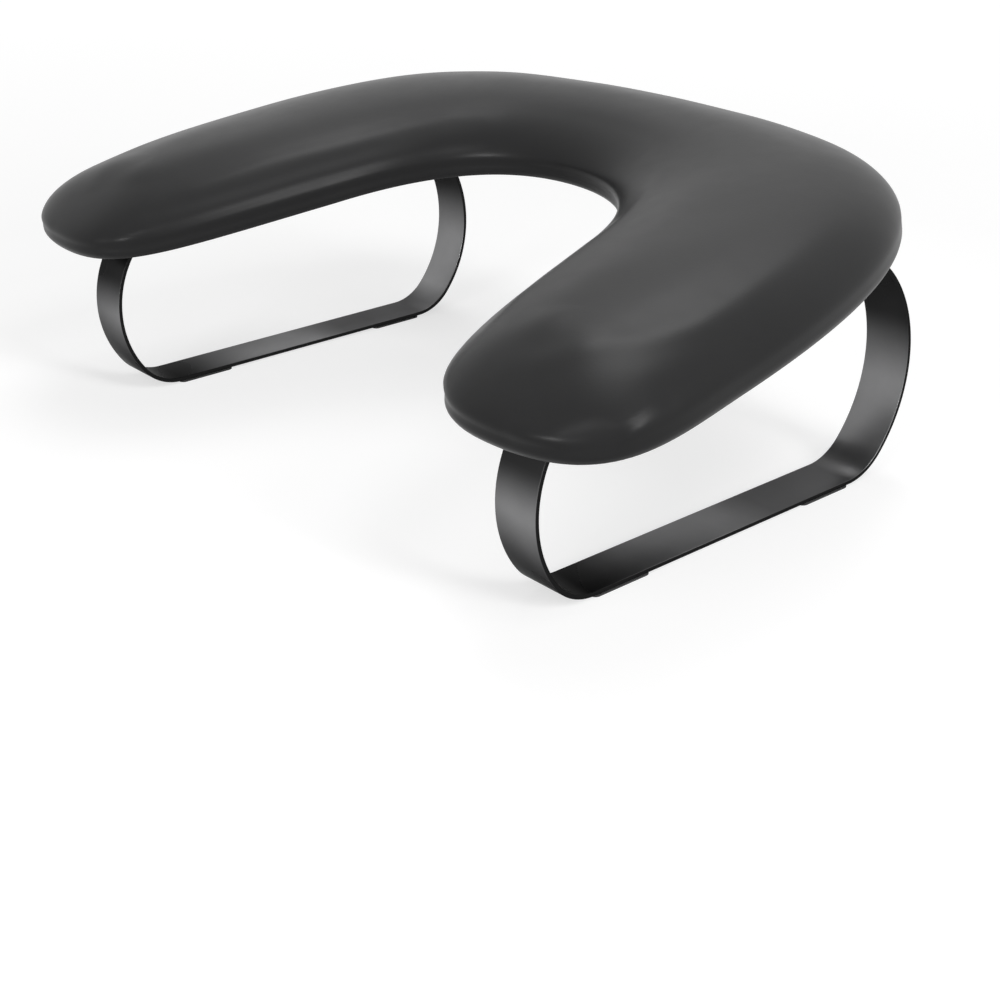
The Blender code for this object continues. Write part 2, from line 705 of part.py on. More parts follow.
def main() -> None:
    """Builds the whole arm rest."""
    clear_scene()
    group = new_group("manicure_hand_rest")
    cutters = new_group("cutters")
    root = bpy.data.objects.new("rest_origin", None)
    frame = bpy.data.objects.new("cushion_frame", None)
    for empty in (root, frame):
        group.objects.link(empty)
    frame.parent = root
    frame.location = (0.0, 0.0, RIM_HEIGHT)
    frame.rotation_euler = (TILT, 0.0, 0.0)
    layers = build_cushion(group, frame)
    legs = build_legs(group, root)
    build_fasteners(group, cutters, frame, legs, layers)


main()
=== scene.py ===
"""Looks of a U-shaped padded arm rest that stands on two closed loops of flat steel strip.

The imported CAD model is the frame. This script dresses it: one stretched leather cover over a
crowned cushion, powder-coated loops, rubber pads, plated screws and a stapled lining underneath.
Metres, +Z up. Sizes in the cushion are given in its own plane: q runs up the slope from the arm
tips to the back, and h is the height above the cushion's lower rim.
"""

import json
import logging
import math
from collections.abc import Callable, Iterable, Sequence
from dataclasses import dataclass, replace
from enum import Enum
from typing import NamedTuple

import bmesh
import bpy
import numpy as np
from mathutils import Matrix, Vector, noise
from mathutils.geometry import interpolate_bezier, intersect_line_line_2d

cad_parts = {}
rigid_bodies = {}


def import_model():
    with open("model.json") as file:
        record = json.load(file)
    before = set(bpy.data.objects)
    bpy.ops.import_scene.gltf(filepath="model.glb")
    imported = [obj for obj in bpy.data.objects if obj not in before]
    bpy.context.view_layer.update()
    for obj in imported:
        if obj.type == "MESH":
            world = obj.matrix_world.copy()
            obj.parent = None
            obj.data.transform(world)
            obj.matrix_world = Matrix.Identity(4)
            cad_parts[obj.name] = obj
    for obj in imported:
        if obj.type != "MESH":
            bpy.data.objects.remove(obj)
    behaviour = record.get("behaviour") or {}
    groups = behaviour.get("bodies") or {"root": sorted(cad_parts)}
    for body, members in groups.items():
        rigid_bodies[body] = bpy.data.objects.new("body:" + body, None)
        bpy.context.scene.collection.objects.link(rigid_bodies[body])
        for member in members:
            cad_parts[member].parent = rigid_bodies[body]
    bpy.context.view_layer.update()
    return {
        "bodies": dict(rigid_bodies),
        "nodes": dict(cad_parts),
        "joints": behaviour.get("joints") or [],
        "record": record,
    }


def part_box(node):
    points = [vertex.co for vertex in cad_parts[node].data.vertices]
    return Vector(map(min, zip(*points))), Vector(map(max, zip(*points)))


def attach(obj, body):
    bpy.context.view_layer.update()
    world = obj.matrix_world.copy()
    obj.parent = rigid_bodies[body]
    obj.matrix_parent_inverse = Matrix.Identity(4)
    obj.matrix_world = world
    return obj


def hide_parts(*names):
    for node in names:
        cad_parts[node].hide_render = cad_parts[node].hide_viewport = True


LOG = logging.getLogger("arm_rest")
MM = 0.001
BODY = "root"
MERGE = 0.005 * MM
# Vertex attribute with the share of light that is painted into the coat's colour as shade.
BRIGHTNESS_PAINT_ATTRIBUTE = "openness"
WHITE = (1.0, 1.0, 1.0)

Colour = tuple[float, float, float]
Place = tuple[float, float, float]
Flat = tuple[float, float]


class Labelled(Enum):
    """Options whose names in lower case are part of node names."""

    @property
    def label(self) -> str:
        """Name used in node names."""
        return self.name.lower()


class Side(Labelled):
    """The two arms, with the sign of X on each."""

    LEFT = -1
    RIGHT = 1


class End(Labelled):
    """The two ends of a leg loop, with the sign of Y that each faces."""

    FRONT = -1
    REAR = 1


# Materials


class NodeBoard:
    """Adds nodes to a node tree and links them in short calls."""

    def __init__(self, tree: bpy.types.NodeTree) -> None:
        """Keeps the node tree that is filled."""
        self.tree = tree

    def add(self, kind: str, settings: dict | None = None, **inputs: object) -> bpy.types.Node:
        """Adds one node.

        Args:
            kind: Blender's node type.
            settings: Attributes of the node itself.
            inputs: Input sockets by name, with _ for a space; a socket links, a value is set.

        Returns:
            The new node.
        """
        node = self.tree.nodes.new(kind)
        for name, value in (settings or {}).items():
            setattr(node, name, value)
        for name, value in inputs.items():
            self.feed(node.inputs[name.replace("_", " ")], value)
        return node

    def feed(self, socket: bpy.types.NodeSocket, value: object) -> None:
        """Links a socket to another, or sets its value."""
        if isinstance(value, bpy.types.NodeSocket):
            self.tree.links.new(value, socket)
        elif isinstance(value, tuple) and len(value) == 3 and socket.type == "RGBA":
            socket.default_value = (*value, 1.0)
        else:
            socket.default_value = value

    def math(self, operation: str, *values: object) -> bpy.types.NodeSocket:
        """Result of a Math node on up to three values or sockets.

        Args:
            operation: Blender's name of the operation.
            values: Its inputs in their order.

        Returns:
            The result.
        """
        node = self.tree.nodes.new("ShaderNodeMath")
        node.operation = operation
        for socket, value in zip(node.inputs, values):
            self.feed(socket, value)
        return node.outputs[0]

    def span(self, value: object, low: float, high: float) -> bpy.types.NodeSocket:
        """A mask from 0 to 1 as a number from low to high."""
        return self.math("MULTIPLY_ADD", value, high - low, low)

    def blend(self, mask: object, first: object, second: object) -> bpy.types.NodeSocket:
        """Mix of two colours, the first where the mask is 0 and the second where it is 1.

        Args:
            mask: A number or a socket.
            first: A colour or a socket.
            second: A colour or a socket.

        Returns:
            The mixed colour.
        """
        node = self.tree.nodes.new("ShaderNodeMix")
        node.data_type = "RGBA"
        for name, value in (("Factor", mask), ("A", first), ("B", second)):
            self.feed(node.inputs[name], value)
        return node.outputs["Result"]

    def place_on_object(self) -> bpy.types.NodeSocket:
        """Object coordinates, in metres."""
        return self.add("ShaderNodeTexCoord").outputs["Object"]

    def clouds(self, scale: object, detail: float) -> bpy.types.NodeSocket:
        """Soft noise from 0 to 1, with about this many features to the metre."""
        place = self.place_on_object()
        return self.add("ShaderNodeTexNoise", Vector=place, Scale=scale, Detail=detail).outputs[0]


class Surface(NodeBoard):
    """The board of one material, with short calls for its Principled BSDF."""

    def __init__(self, made: bpy.types.Material) -> None:
        """Turns the material's nodes on and keeps its tree and its shader.

        Args:
            made: The material.
        """
        made.use_nodes = True
        super().__init__(made.node_tree)
        self.shader = made.node_tree.nodes["Principled BSDF"]

    def put(self, name: str, value: object) -> None:
        """Links or sets one input of the shader."""
        self.feed(self.shader.inputs[name], value)

    def bump(self, height: bpy.types.NodeSocket, strength: float, depth: float) -> None:
        """Raises the surface by a height from 0 to 1 that stands for a depth in metres."""
        bump = self.add("ShaderNodeBump", Height=height, Strength=strength, Distance=depth)
        self.put("Normal", bump.outputs[0])


class EffectGroups:
    """Shader node groups that several finishes share."""

    def __init__(self) -> None:
        """Builds each group once."""
        self._grain = self._build_grain()
        self._mottle = self._build_mottle()

    @staticmethod
    def _open(name: str, inputs: dict[str, float], output: str) -> NodeBoard:
        """Starts a group with float sockets.

        Args:
            name: Name of the group.
            inputs: Input sockets with their default values.
            output: Name of its one output socket.

        Returns:
            The board of the new group's tree.
        """
        tree = bpy.data.node_groups.new(name, "ShaderNodeTree")
        for label, value in inputs.items():
            socket = tree.interface.new_socket(label, in_out="INPUT", socket_type="NodeSocketFloat")
            socket.default_value = value
        tree.interface.new_socket(output, in_out="OUTPUT", socket_type="NodeSocketFloat")
        return NodeBoard(tree)

    def _build_grain(self) -> bpy.types.NodeTree:
        """Pebbled grain: rounded cells with fine valleys between them, as a height.

        Returns:
            The group's tree.
        """
        wrinkle_share, valley_width, valley_depth = 0.31, 0.12, 4.0
        board = self._open("Pebbled grain", {"Cells per metre": 1000.0, "Evenness": 0.6}, "Height")
        entry = board.add("NodeGroupInput")
        scale, even = entry.outputs["Cells per metre"], entry.outputs["Evenness"]
        cells, wrinkles = (
            board.add(
                "ShaderNodeTexVoronoi",
                {"feature": feature},
                Vector=board.place_on_object(),
                Scale=density,
            ).outputs["Distance"]
            for feature, density in (
                ("SMOOTH_F1", scale),
                ("DISTANCE_TO_EDGE", board.math("MULTIPLY", scale, wrinkle_share)),
            )
        )
        pebbles = board.math("SUBTRACT", 1.0, cells)
        valleys = board.math("MINIMUM", wrinkles, valley_width)
        deep = board.math("MULTIPLY", valleys, valley_depth)
        rough = board.math("MULTIPLY", deep, board.math("SUBTRACT", 1.0, even))
        board.add("NodeGroupOutput", Height=board.math("MULTIPLY_ADD", pebbles, even, rough))
        return board.tree

    def _build_mottle(self) -> bpy.types.NodeTree:
        """Slow unevenness of a surface, as a mask round one half.

        Returns:
            The group's tree.
        """
        board = self._open("Mottle", {"Patches per metre": 40.0, "Contrast": 1.0}, "Mask")
        entry = board.add("NodeGroupInput")
        cloud = board.clouds(entry.outputs["Patches per metre"], 4.0)
        centred = board.math("SUBTRACT", cloud, 0.5)
        spread = board.math("MULTIPLY_ADD", centred, entry.outputs["Contrast"], 0.5)
        mask = board.math("MINIMUM", board.math("MAXIMUM", spread, 0.0), 1.0)
        board.add("NodeGroupOutput", Mask=mask)
        return board.tree

    def grain(self, surface: Surface, cells: float, evenness: float) -> bpy.types.NodeSocket:
        """Height of the pebbled grain, with this many cells to the metre."""
        return self._use(surface, self._grain, cells, evenness)

    def mottle(self, surface: Surface, patches: float, contrast: float) -> bpy.types.NodeSocket:
        """Mask of slow unevenness, with about this many patches to the metre."""
        return self._use(surface, self._mottle, patches, contrast)

    @staticmethod
    def _use(surface: Surface, group: bpy.types.NodeTree, *values: float) -> bpy.types.NodeSocket:
        """Places a group in a material, with the values of its inputs in their order.

        Args:
            surface: The material's board.
            group: One of this object's groups.
            values: Values of its input sockets.

        Returns:
            The group's output.
        """
        node = surface.add("ShaderNodeGroup", {"node_tree": group})
        for socket, value in zip(node.inputs, values):
            surface.feed(socket, value)
        return node.outputs[0]


@dataclass(frozen=True)
class Finish:
    """A finish of the arm rest: its plain values, which each kind of finish dresses further."""

    name: str
    colour: Colour
    roughness: float
    metallic: float = 0.0
    specular: float = 0.5

    def material(self, effects: EffectGroups) -> bpy.types.Material:
        """Builds the procedural material.

        Args:
            effects: The shared shader node groups.

        Returns:
            The finished material.
        """
        made = bpy.data.materials.new(self.name)
        made.diffuse_color = (*self.colour, 1.0)
        surface = Surface(made)
        surface.put("Base Color", self.colour)
        surface.put("Roughness", self.roughness)
        surface.put("Metallic", self.metallic)
        surface.put("Specular IOR Level", self.specular)
        self.dress(surface, effects)
        return made

    def dress(self, surface: Surface, effects: EffectGroups) -> None:
        """Adds this finish's own pattern to its surface.

        Args:
            surface: The material's board.
            effects: The shared shader node groups.
        """
        raise NotImplementedError

    def scaled(self, factor: float) -> Colour:
        """The finish's colour made lighter or darker."""
        red, green, blue = self.colour
        return (red * factor, green * factor, blue * factor)

    def tone(self, surface: Surface, mask: object, low: float, high: float) -> bpy.types.NodeSocket:
        """The finish's colour between two scaled ones, by a mask."""
        return surface.blend(mask, self.scaled(low), self.scaled(high))

    def gloss(self, surface: Surface, mask: object, less: float, more: float) -> None:
        """Lets the roughness run from less below to more above its plain value, by a mask."""
        surface.put("Roughness", surface.span(mask, self.roughness - less, self.roughness + more))


@dataclass(frozen=True)
class LeatherFinish(Finish):
    """Smooth synthetic leather with a fine pebbled grain and a soft sheen."""

    grain_per_metre: float = 1150.0
    grain_depth: float = 0.035 * MM

    def dress(self, surface: Surface, effects: EffectGroups) -> None:
        """Grain, slow unevenness of colour and gloss.

        Args:
            surface: The material's board.
            effects: The shared shader node groups.
        """
        patches = effects.mottle(surface, patches=28.0, contrast=1.4)
        surface.put("Base Color", self.tone(surface, patches, 0.90, 1.12))
        wear = effects.mottle(surface, patches=95.0, contrast=1.2)
        self.gloss(surface, wear, 0.025, 0.035)
        height = effects.grain(surface, self.grain_per_metre, evenness=0.65)
        surface.bump(height, 0.55, self.grain_depth)


@dataclass(frozen=True)
class PowderCoatFinish(Finish):
    """Satin black coat with a metallic sheen on steel, with painted shade on its side faces and in
    tight places.
    """

    peel_per_metre: float = 900.0
    peel_depth: float = 0.03 * MM
    edge_start: float = 0.6
    # Colour factor of the painted shade on the strip's side faces.
    painted_side_shade: float = 0.05
    # Colour factor of the painted shade under the cushion and near the floor.
    painted_tight_shade: float = 0.05
    grazing_sheen: float = 0.3

    def dress(self, surface: Surface, effects: EffectGroups) -> None:
        """Orange peel, slightly uneven gloss, and painted shade on the side faces and in tight
        places.

        Args:
            surface: The material's board.
            effects: The shared shader node groups.
        """
        wear = effects.mottle(surface, patches=60.0, contrast=1.5)
        self.gloss(surface, wear, 0.03, 0.04)
        tone = self.tone(surface, wear, 0.9, 1.1)
        # Painted shade: faces turned along X, the strip's side faces, are darkened.
        normal = surface.add("ShaderNodeNewGeometry").outputs["Normal"]
        sideways = surface.add("ShaderNodeSeparateXYZ", Vector=normal).outputs["X"]
        cut = surface.math("SUBTRACT", surface.math("ABSOLUTE", sideways), self.edge_start)
        cut = surface.math("MULTIPLY", surface.math("MAXIMUM", cut, 0.0), 4.0)
        tone = surface.blend(surface.math("MINIMUM", cut, 1.0), tone, self.scaled(self.painted_side_shade))
        # Painted shade: the coat darkens where the cushion and the floor close it in, by a vertex
        # attribute.
        brightness_paint = surface.add("ShaderNodeAttribute", {"attribute_name": BRIGHTNESS_PAINT_ATTRIBUTE}).outputs["Fac"]
        tone = surface.blend(brightness_paint, self.scaled(self.painted_tight_shade), tone)
        surface.put("Base Color", tone)
        surface.put("Specular Tint", (self.grazing_sheen,) * 3)
        surface.bump(surface.clouds(self.peel_per_metre, 2.0), 0.25, self.peel_depth)


@dataclass(frozen=True)
class ZincFinish(Finish):
    """Zinc-plated steel with faint spangle."""

    spangle_depth: float = 0.02 * MM

    def dress(self, surface: Surface, effects: EffectGroups) -> None:
        """Spangle in colour and gloss.

        Args:
            surface: The material's board.
            effects: The shared shader node groups.
        """
        spangle = effects.mottle(surface, patches=900.0, contrast=1.6)
        surface.put("Base Color", self.tone(surface, spangle, 0.85, 1.1))
        self.gloss(surface, spangle, 0.05, 0.08)
        surface.bump(spangle, 0.2, self.spangle_depth)


@dataclass(frozen=True)
class RubberFinish(Finish):
    """Matt black rubber with a fine moulded texture and dust in its hollows."""

    texture_depth: float = 0.05 * MM

    def dress(self, surface: Surface, effects: EffectGroups) -> None:
        """Moulded texture and grey dust.

        Args:
            surface: The material's board.
            effects: The shared shader node groups.
        """
        height = effects.grain(surface, cells=1600.0, evenness=0.9)
        dust = effects.mottle(surface, patches=120.0, contrast=1.8)
        surface.put("Base Color", self.tone(surface, dust, 1.0, 1.7))
        surface.bump(height, 0.5, self.texture_depth)


@dataclass(frozen=True)
class NonWovenFinish(Finish):
    """Black non-woven lining cloth, pressed with a lattice of small bond points."""

    bonds_per_metre: float = 620.0
    bond_edge: float = 0.45
    bond_dent: float = -0.8
    fibre_depth: float = 0.08 * MM

    def dress(self, surface: Surface, effects: EffectGroups) -> None:
        """Lattice of bond points over fine fibres.

        Args:
            surface: The material's board.
            effects: The shared shader node groups.
        """
        place, diagonal = surface.place_on_object(), (0.0, 0.0, math.radians(45))
        turned = surface.add("ShaderNodeMapping", Vector=place, Rotation=diagonal).outputs[0]
        parts = surface.add("ShaderNodeSeparateXYZ", Vector=turned)
        turns = self.bonds_per_metre * math.tau
        waves = (
            surface.math("SINE", surface.math("MULTIPLY", parts.outputs[axis], turns))
            for axis in ("X", "Y")
        )
        bonds = surface.math("GREATER_THAN", surface.math("MULTIPLY", *waves), self.bond_edge)
        fibres = surface.clouds(2600.0, 5.0)
        height = surface.math("MULTIPLY_ADD", bonds, self.bond_dent, fibres)
        surface.put("Base Color", self.tone(surface, bonds, 1.25, 0.75))
        surface.bump(height, 0.6, self.fibre_depth)


@dataclass(frozen=True)
class PlywoodFinish(Finish):
    """Raw plywood: long grain on its faces and thin plies at its edges."""

    plies_per_metre: float = 640.0
    ply_share: float = 0.12
    grain_stretch: Place = (6.0, 90.0, 90.0)
    grain_depth: float = 0.1 * MM

    def dress(self, surface: Surface, effects: EffectGroups) -> None:
        """Long grain, with plies across the thickness.

        Args:
            surface: The material's board.
            effects: The shared shader node groups.
        """
        place = surface.place_on_object()
        stretched = surface.add("ShaderNodeMapping", Vector=place, Scale=self.grain_stretch)
        grain = surface.add(
            "ShaderNodeTexNoise", Vector=stretched.outputs[0], Scale=3.0, Detail=6.0
        ).outputs[0]
        height = surface.add("ShaderNodeSeparateXYZ", Vector=place).outputs["Z"]
        turns = surface.math("MULTIPLY", height, self.plies_per_metre * math.tau)
        plies = surface.math("SINE", turns)
        streak = surface.math("MULTIPLY_ADD", plies, self.ply_share, grain)
        surface.put("Base Color", self.tone(surface, streak, 0.65, 1.3))
        surface.bump(grain, 0.3, self.grain_depth)


@dataclass(frozen=True)
class FoamFinish(Finish):
    """Open-cell foam, cream, with small pores."""

    pore_depth: float = 0.3 * MM

    def dress(self, surface: Surface, effects: EffectGroups) -> None:
        """Pores, with painted shade in their hollows.

        Args:
            surface: The material's board.
            effects: The shared shader node groups.
        """
        pores = effects.grain(surface, cells=900.0, evenness=0.8)
        # Painted shade: the pores' hollows are darker.
        surface.put("Base Color", self.tone(surface, pores, 0.7, 1.0))
        surface.bump(pores, 0.8, self.pore_depth)


# Mesh helpers


def smooth_object(name: str, bm: bmesh.types.BMesh, finish: bpy.types.Material) -> bpy.types.Object:
    """Makes a smooth-shaded object of a bmesh and frees the bmesh.

    Args:
        name: Name of the piece.
        bm: Its shape, in place.
        finish: Its material.

    Returns:
        The object, linked to the scene.
    """
    mesh = bpy.data.meshes.new(name)
    bm.to_mesh(mesh)
    bm.free()
    mesh.materials.append(finish)
    mesh.shade_smooth()
    piece = bpy.data.objects.new(name, mesh)
    bpy.context.scene.collection.objects.link(piece)
    return piece


def round_over(bm: bmesh.types.BMesh, edges: list, width: float, segments: int) -> None:
    """Rounds edges of a bmesh, or cuts them off with one segment."""
    bmesh.ops.bevel(
        bm, geom=edges, offset=width, segments=segments, profile=0.5, affect="EDGES", material=-1
    )


def bake_modifiers(piece: bpy.types.Object) -> None:
    """Replaces a piece's mesh by its evaluated mesh and clears its modifiers.

    Args:
        piece: The piece.
    """
    graph = bpy.context.evaluated_depsgraph_get()
    baked = bpy.data.meshes.new_from_object(piece.evaluated_get(graph))
    old = piece.data
    piece.modifiers.clear()
    piece.data = baked
    baked.name = old.name
    bpy.data.meshes.remove(old)


def evenly(points: Sequence[Vector], count: int) -> list[Vector]:
    """Resamples a line.

    Args:
        points: The line.
        count: How many points the result has.

    Returns:
        Points at even spacing along the same line.
    """
    walked = [0.0]
    for a, b in zip(points, points[1:]):
        walked.append(walked[-1] + (b - a).length)
    found = []
    step = 0
    for index in range(count):
        want = walked[-1] * index / (count - 1)
        while step < len(points) - 2 and walked[step + 1] < want:
            step += 1
        share = (want - walked[step]) / (walked[step + 1] - walked[step])
        found.append(points[step].lerp(points[step + 1], share))
    return found


# Cushion


class Knot(NamedTuple):
    """One point of the cushion's outline: its place, its heading and its handles' lengths."""

    x: float
    q: float
    heading: float
    reach_in: float = 0.0
    reach_out: float = 0.0


class Ray(NamedTuple):
    """A line in the cushion's plane from its spine straight out to its lower rim.

    The half width is that of the arm at the ray's start, the same for all rays from there.
    """

    start: Vector
    heading: Vector
    reach: float
    half_width: float


@dataclass(frozen=True)
class CushionPlan:
    """Plan of the cushion in its own tilted plane."""

    tilt: float = math.radians(9.4)
    rim_height: float = 107.3 * MM
    half_width: float = 225.8 * MM
    back_reach: float = 148.0 * MM
    tip_reach: float = 147.2 * MM
    bay_reach: float = 57.6 * MM
    corner_in: float = 47.0 * MM
    corner_down: float = 50.9 * MM
    corner_heading: float = math.radians(-48.7)
    outside_q: float = -61.7 * MM
    outside_heading: float = math.radians(-86.5)
    tip_in: float = 56.2 * MM
    inside_in: float = 131.5 * MM
    inside_q: float = -29.9 * MM
    inside_heading: float = math.radians(105.4)
    nose_length: float = 60.0 * MM
    curve_steps: int = 60
    stations: int = 58
    fan: int = 30

    def knots(self) -> list[Knot]:
        """Right half of the lower rim, from the middle of the back round to the notch.

        Returns:
            The knots of the outline.
        """
        corner = self.half_width - self.corner_in, self.back_reach - self.corner_down
        inside = self.half_width - self.inside_in, self.inside_q
        tip = self.half_width - self.tip_in, -self.tip_reach
        return [
            Knot(0.0, self.back_reach, 0.0, reach_out=102.5 * MM),
            Knot(*corner, self.corner_heading, 45.2 * MM, 34.5 * MM),
            Knot(self.half_width, self.outside_q, self.outside_heading, 90.1 * MM, 45.7 * MM),
            Knot(*tip, math.pi, 68.7 * MM, 49.5 * MM),
            Knot(*inside, self.inside_heading, 87.5 * MM, 13.9 * MM),
            Knot(0.0, self.bay_reach, math.pi, reach_in=78.5 * MM),
        ]

    def half_rim(self) -> list[Vector]:
        """Points along the right half of the lower rim.

        Returns:
            The points, from the middle of the back round to the notch.
        """
        knots = self.knots()
        points: list[Vector] = []
        for start, end in zip(knots, knots[1:]):
            first, last = Vector((start.x, start.q)), Vector((end.x, end.q))
            leave = first + unit(start.heading) * start.reach_out
            arrive = last - unit(end.heading) * end.reach_in
            stretch = interpolate_bezier(first, leave, arrive, last, self.curve_steps)
            points += [Vector(point[:2]) for point in stretch[:-1]]
        return points + [Vector((0.0, knots[-1].q))]

    def spine(self, rim: list[Vector]) -> list[Vector]:
        """Middle line of the U, from the middle of the back to the arm's rounded end.

        Args:
            rim: Points along the right half of the lower rim.

        Returns:
            Points at even spacing.
        """
        tip = min(range(len(rim)), key=lambda index: rim[index].y)
        nose_q = rim[tip].y + self.nose_length
        outer = [point for point in rim[:tip] if point.y > nose_q]
        inner = [point for point in rim[tip:] if point.y > nose_q][::-1]
        count = self.stations
        middle = [(a + b) / 2 for a, b in zip(evenly(outer, count), evenly(inner, count))]
        return evenly(middle, count)

    def reach(self, rim: list[Vector], start: Vector, heading: Vector) -> float:
        """Distance from a point on the spine to the lower rim along a heading.

        Args:
            rim: Points round the lower rim.
            start: The point on the spine.
            heading: Unit vector of the heading.

        Returns:
            The distance to the nearest hit.
        """
        end = start + heading * (self.half_width + self.back_reach)
        hits = (intersect_line_line_2d(start, end, a, b) for a, b in zip(rim, rim[1:]))
        return min((hit - start).length for hit in hits if hit is not None)

    def rays(self) -> list[Ray]:
        """Rays of the right half, in order round the rim from the back to the notch.

        Returns:
            The rays, outside first and then round the tip and back along the inside.
        """
        half = self.half_rim()
        mirrored = [Vector((-point.x, point.y)) for point in half]
        rim = half[::-1] + mirrored[1:] + [half[-1]]
        middle = self.spine(half)
        outward, inward = [], []
        for index, point in enumerate(middle):
            before, after = middle[max(index - 1, 0)], middle[min(index + 1, len(middle) - 1)]
            along = (after - before).normalized() if index else Vector((1.0, 0.0))
            across = Vector((-along.y, along.x))
            reaches = self.reach(rim, point, across), self.reach(rim, point, -across)
            half_width = sum(reaches) / 2
            outward.append(Ray(point, across, reaches[0], half_width))
            inward.append(Ray(point, -across, reaches[1], half_width))
        focus = outward[-1]
        fan = []
        for step in range(1, self.fan + 1):
            heading = Matrix.Rotation(-math.pi * step / (self.fan + 1), 2) @ focus.heading
            reach = self.reach(rim, focus.start, heading)
            fan.append(Ray(focus.start, heading, reach, focus.half_width))
        return outward + fan + inward[::-1]

    def inside_end(self, end: End, inset: float) -> float:
        """How far back a place lies that is this far in from the cushion's front or rear."""
        return end.value * ((self.tip_reach if end is End.FRONT else self.back_reach) - inset)

    def matrix(self) -> Matrix:
        """From the cushion's own frame to the object's."""
        return Matrix.Translation((0.0, 0.0, self.rim_height)) @ Matrix.Rotation(self.tilt, 4, "X")


def ease(value: float, low: float, high: float) -> float:
    """0 below low, 1 above high, and a smooth rise between them."""
    share = min(max((value - low) / (high - low), 0.0), 1.0)
    return share * share * (3 - 2 * share)


def mixed(pair: Flat, share: float) -> float:
    """The first of two numbers at share 0, the second at 1 and a mix between."""
    return pair[0] + (pair[1] - pair[0]) * share


def unit(heading: float) -> Vector:
    """Unit vector of a heading in a plane."""
    return Vector((math.cos(heading), math.sin(heading)))


def draped_grid(rays: Sequence[Ray], section_of: Callable[[Ray], list[Flat]]) -> bmesh.types.BMesh:
    """Lays a grid over the rays of the right half and mirrors it.

    Args:
        rays: The rays, one for each line of the grid.
        section_of: Gives a ray's section as (distance in from the rim, height) points.

    Returns:
        The whole U in the cushion's own frame, with its doubles merged.
    """
    sections = [section_of(ray) for ray in rays]
    across, along = len(sections[0]) - 1, len(rays) - 1
    bm = bmesh.new()
    bmesh.ops.create_grid(bm, x_segments=along, y_segments=across, size=0.5)
    for vert in bm.verts:
        index = round((vert.co.x + 0.5) * along)
        run, height = sections[index][round((vert.co.y + 0.5) * across)]
        ray = rays[index]
        flat = ray.start + ray.heading * (ray.reach - run)
        vert.co = Vector((0.0 if index in (0, along) else flat.x, flat.y, height))
    bmesh.ops.mirror(bm, geom=bm.verts[:] + bm.edges[:] + bm.faces[:], axis="X", merge_dist=MERGE)
    bmesh.ops.remove_doubles(bm, verts=bm.verts, dist=MERGE)
    bmesh.ops.recalc_face_normals(bm, faces=bm.faces)
    return bm


@dataclass(frozen=True)
class Crease:
    """A long soft fold or ridge in the cover, along a line of places on it.

    The line's places are in millimetres, in the cushion's own frame. A ridge's depth is negative.
    Twin is the depth of the same crease on the other arm, as a share of this one.
    """

    width: float
    depth: float
    twin: float
    line: tuple[Place, ...]

    def push(self, places: np.ndarray) -> np.ndarray:
        """How far this crease moves each point of the cover inwards.

        Args:
            places: The points, in the cushion's own frame.

        Returns:
            The moves, in metres.
        """
        knots = np.array(self.line) * MM
        nearest = np.full(len(places), np.inf)
        way = np.zeros(len(places))
        for index, (start, end) in enumerate(zip(knots, knots[1:])):
            run = end - start
            share = np.clip((places - start) @ run / (run @ run), 0.0, 1.0)
            distance = np.linalg.norm(places - start - share[:, None] * run, axis=1)
            closer = distance < nearest
            nearest = np.where(closer, distance, nearest)
            way = np.where(closer, (index + share) / (len(knots) - 1), way)
        fade = np.sin(np.pi * way) ** 0.7
        return self.depth * fade * np.exp(-((nearest / self.width) ** 2))

    def both(self) -> tuple["Crease", "Crease"]:
        """This crease and its twin on the other arm."""
        line = tuple((-x, q, h) for x, q, h in self.line)
        return self, replace(self, line=line, depth=self.depth * self.twin)


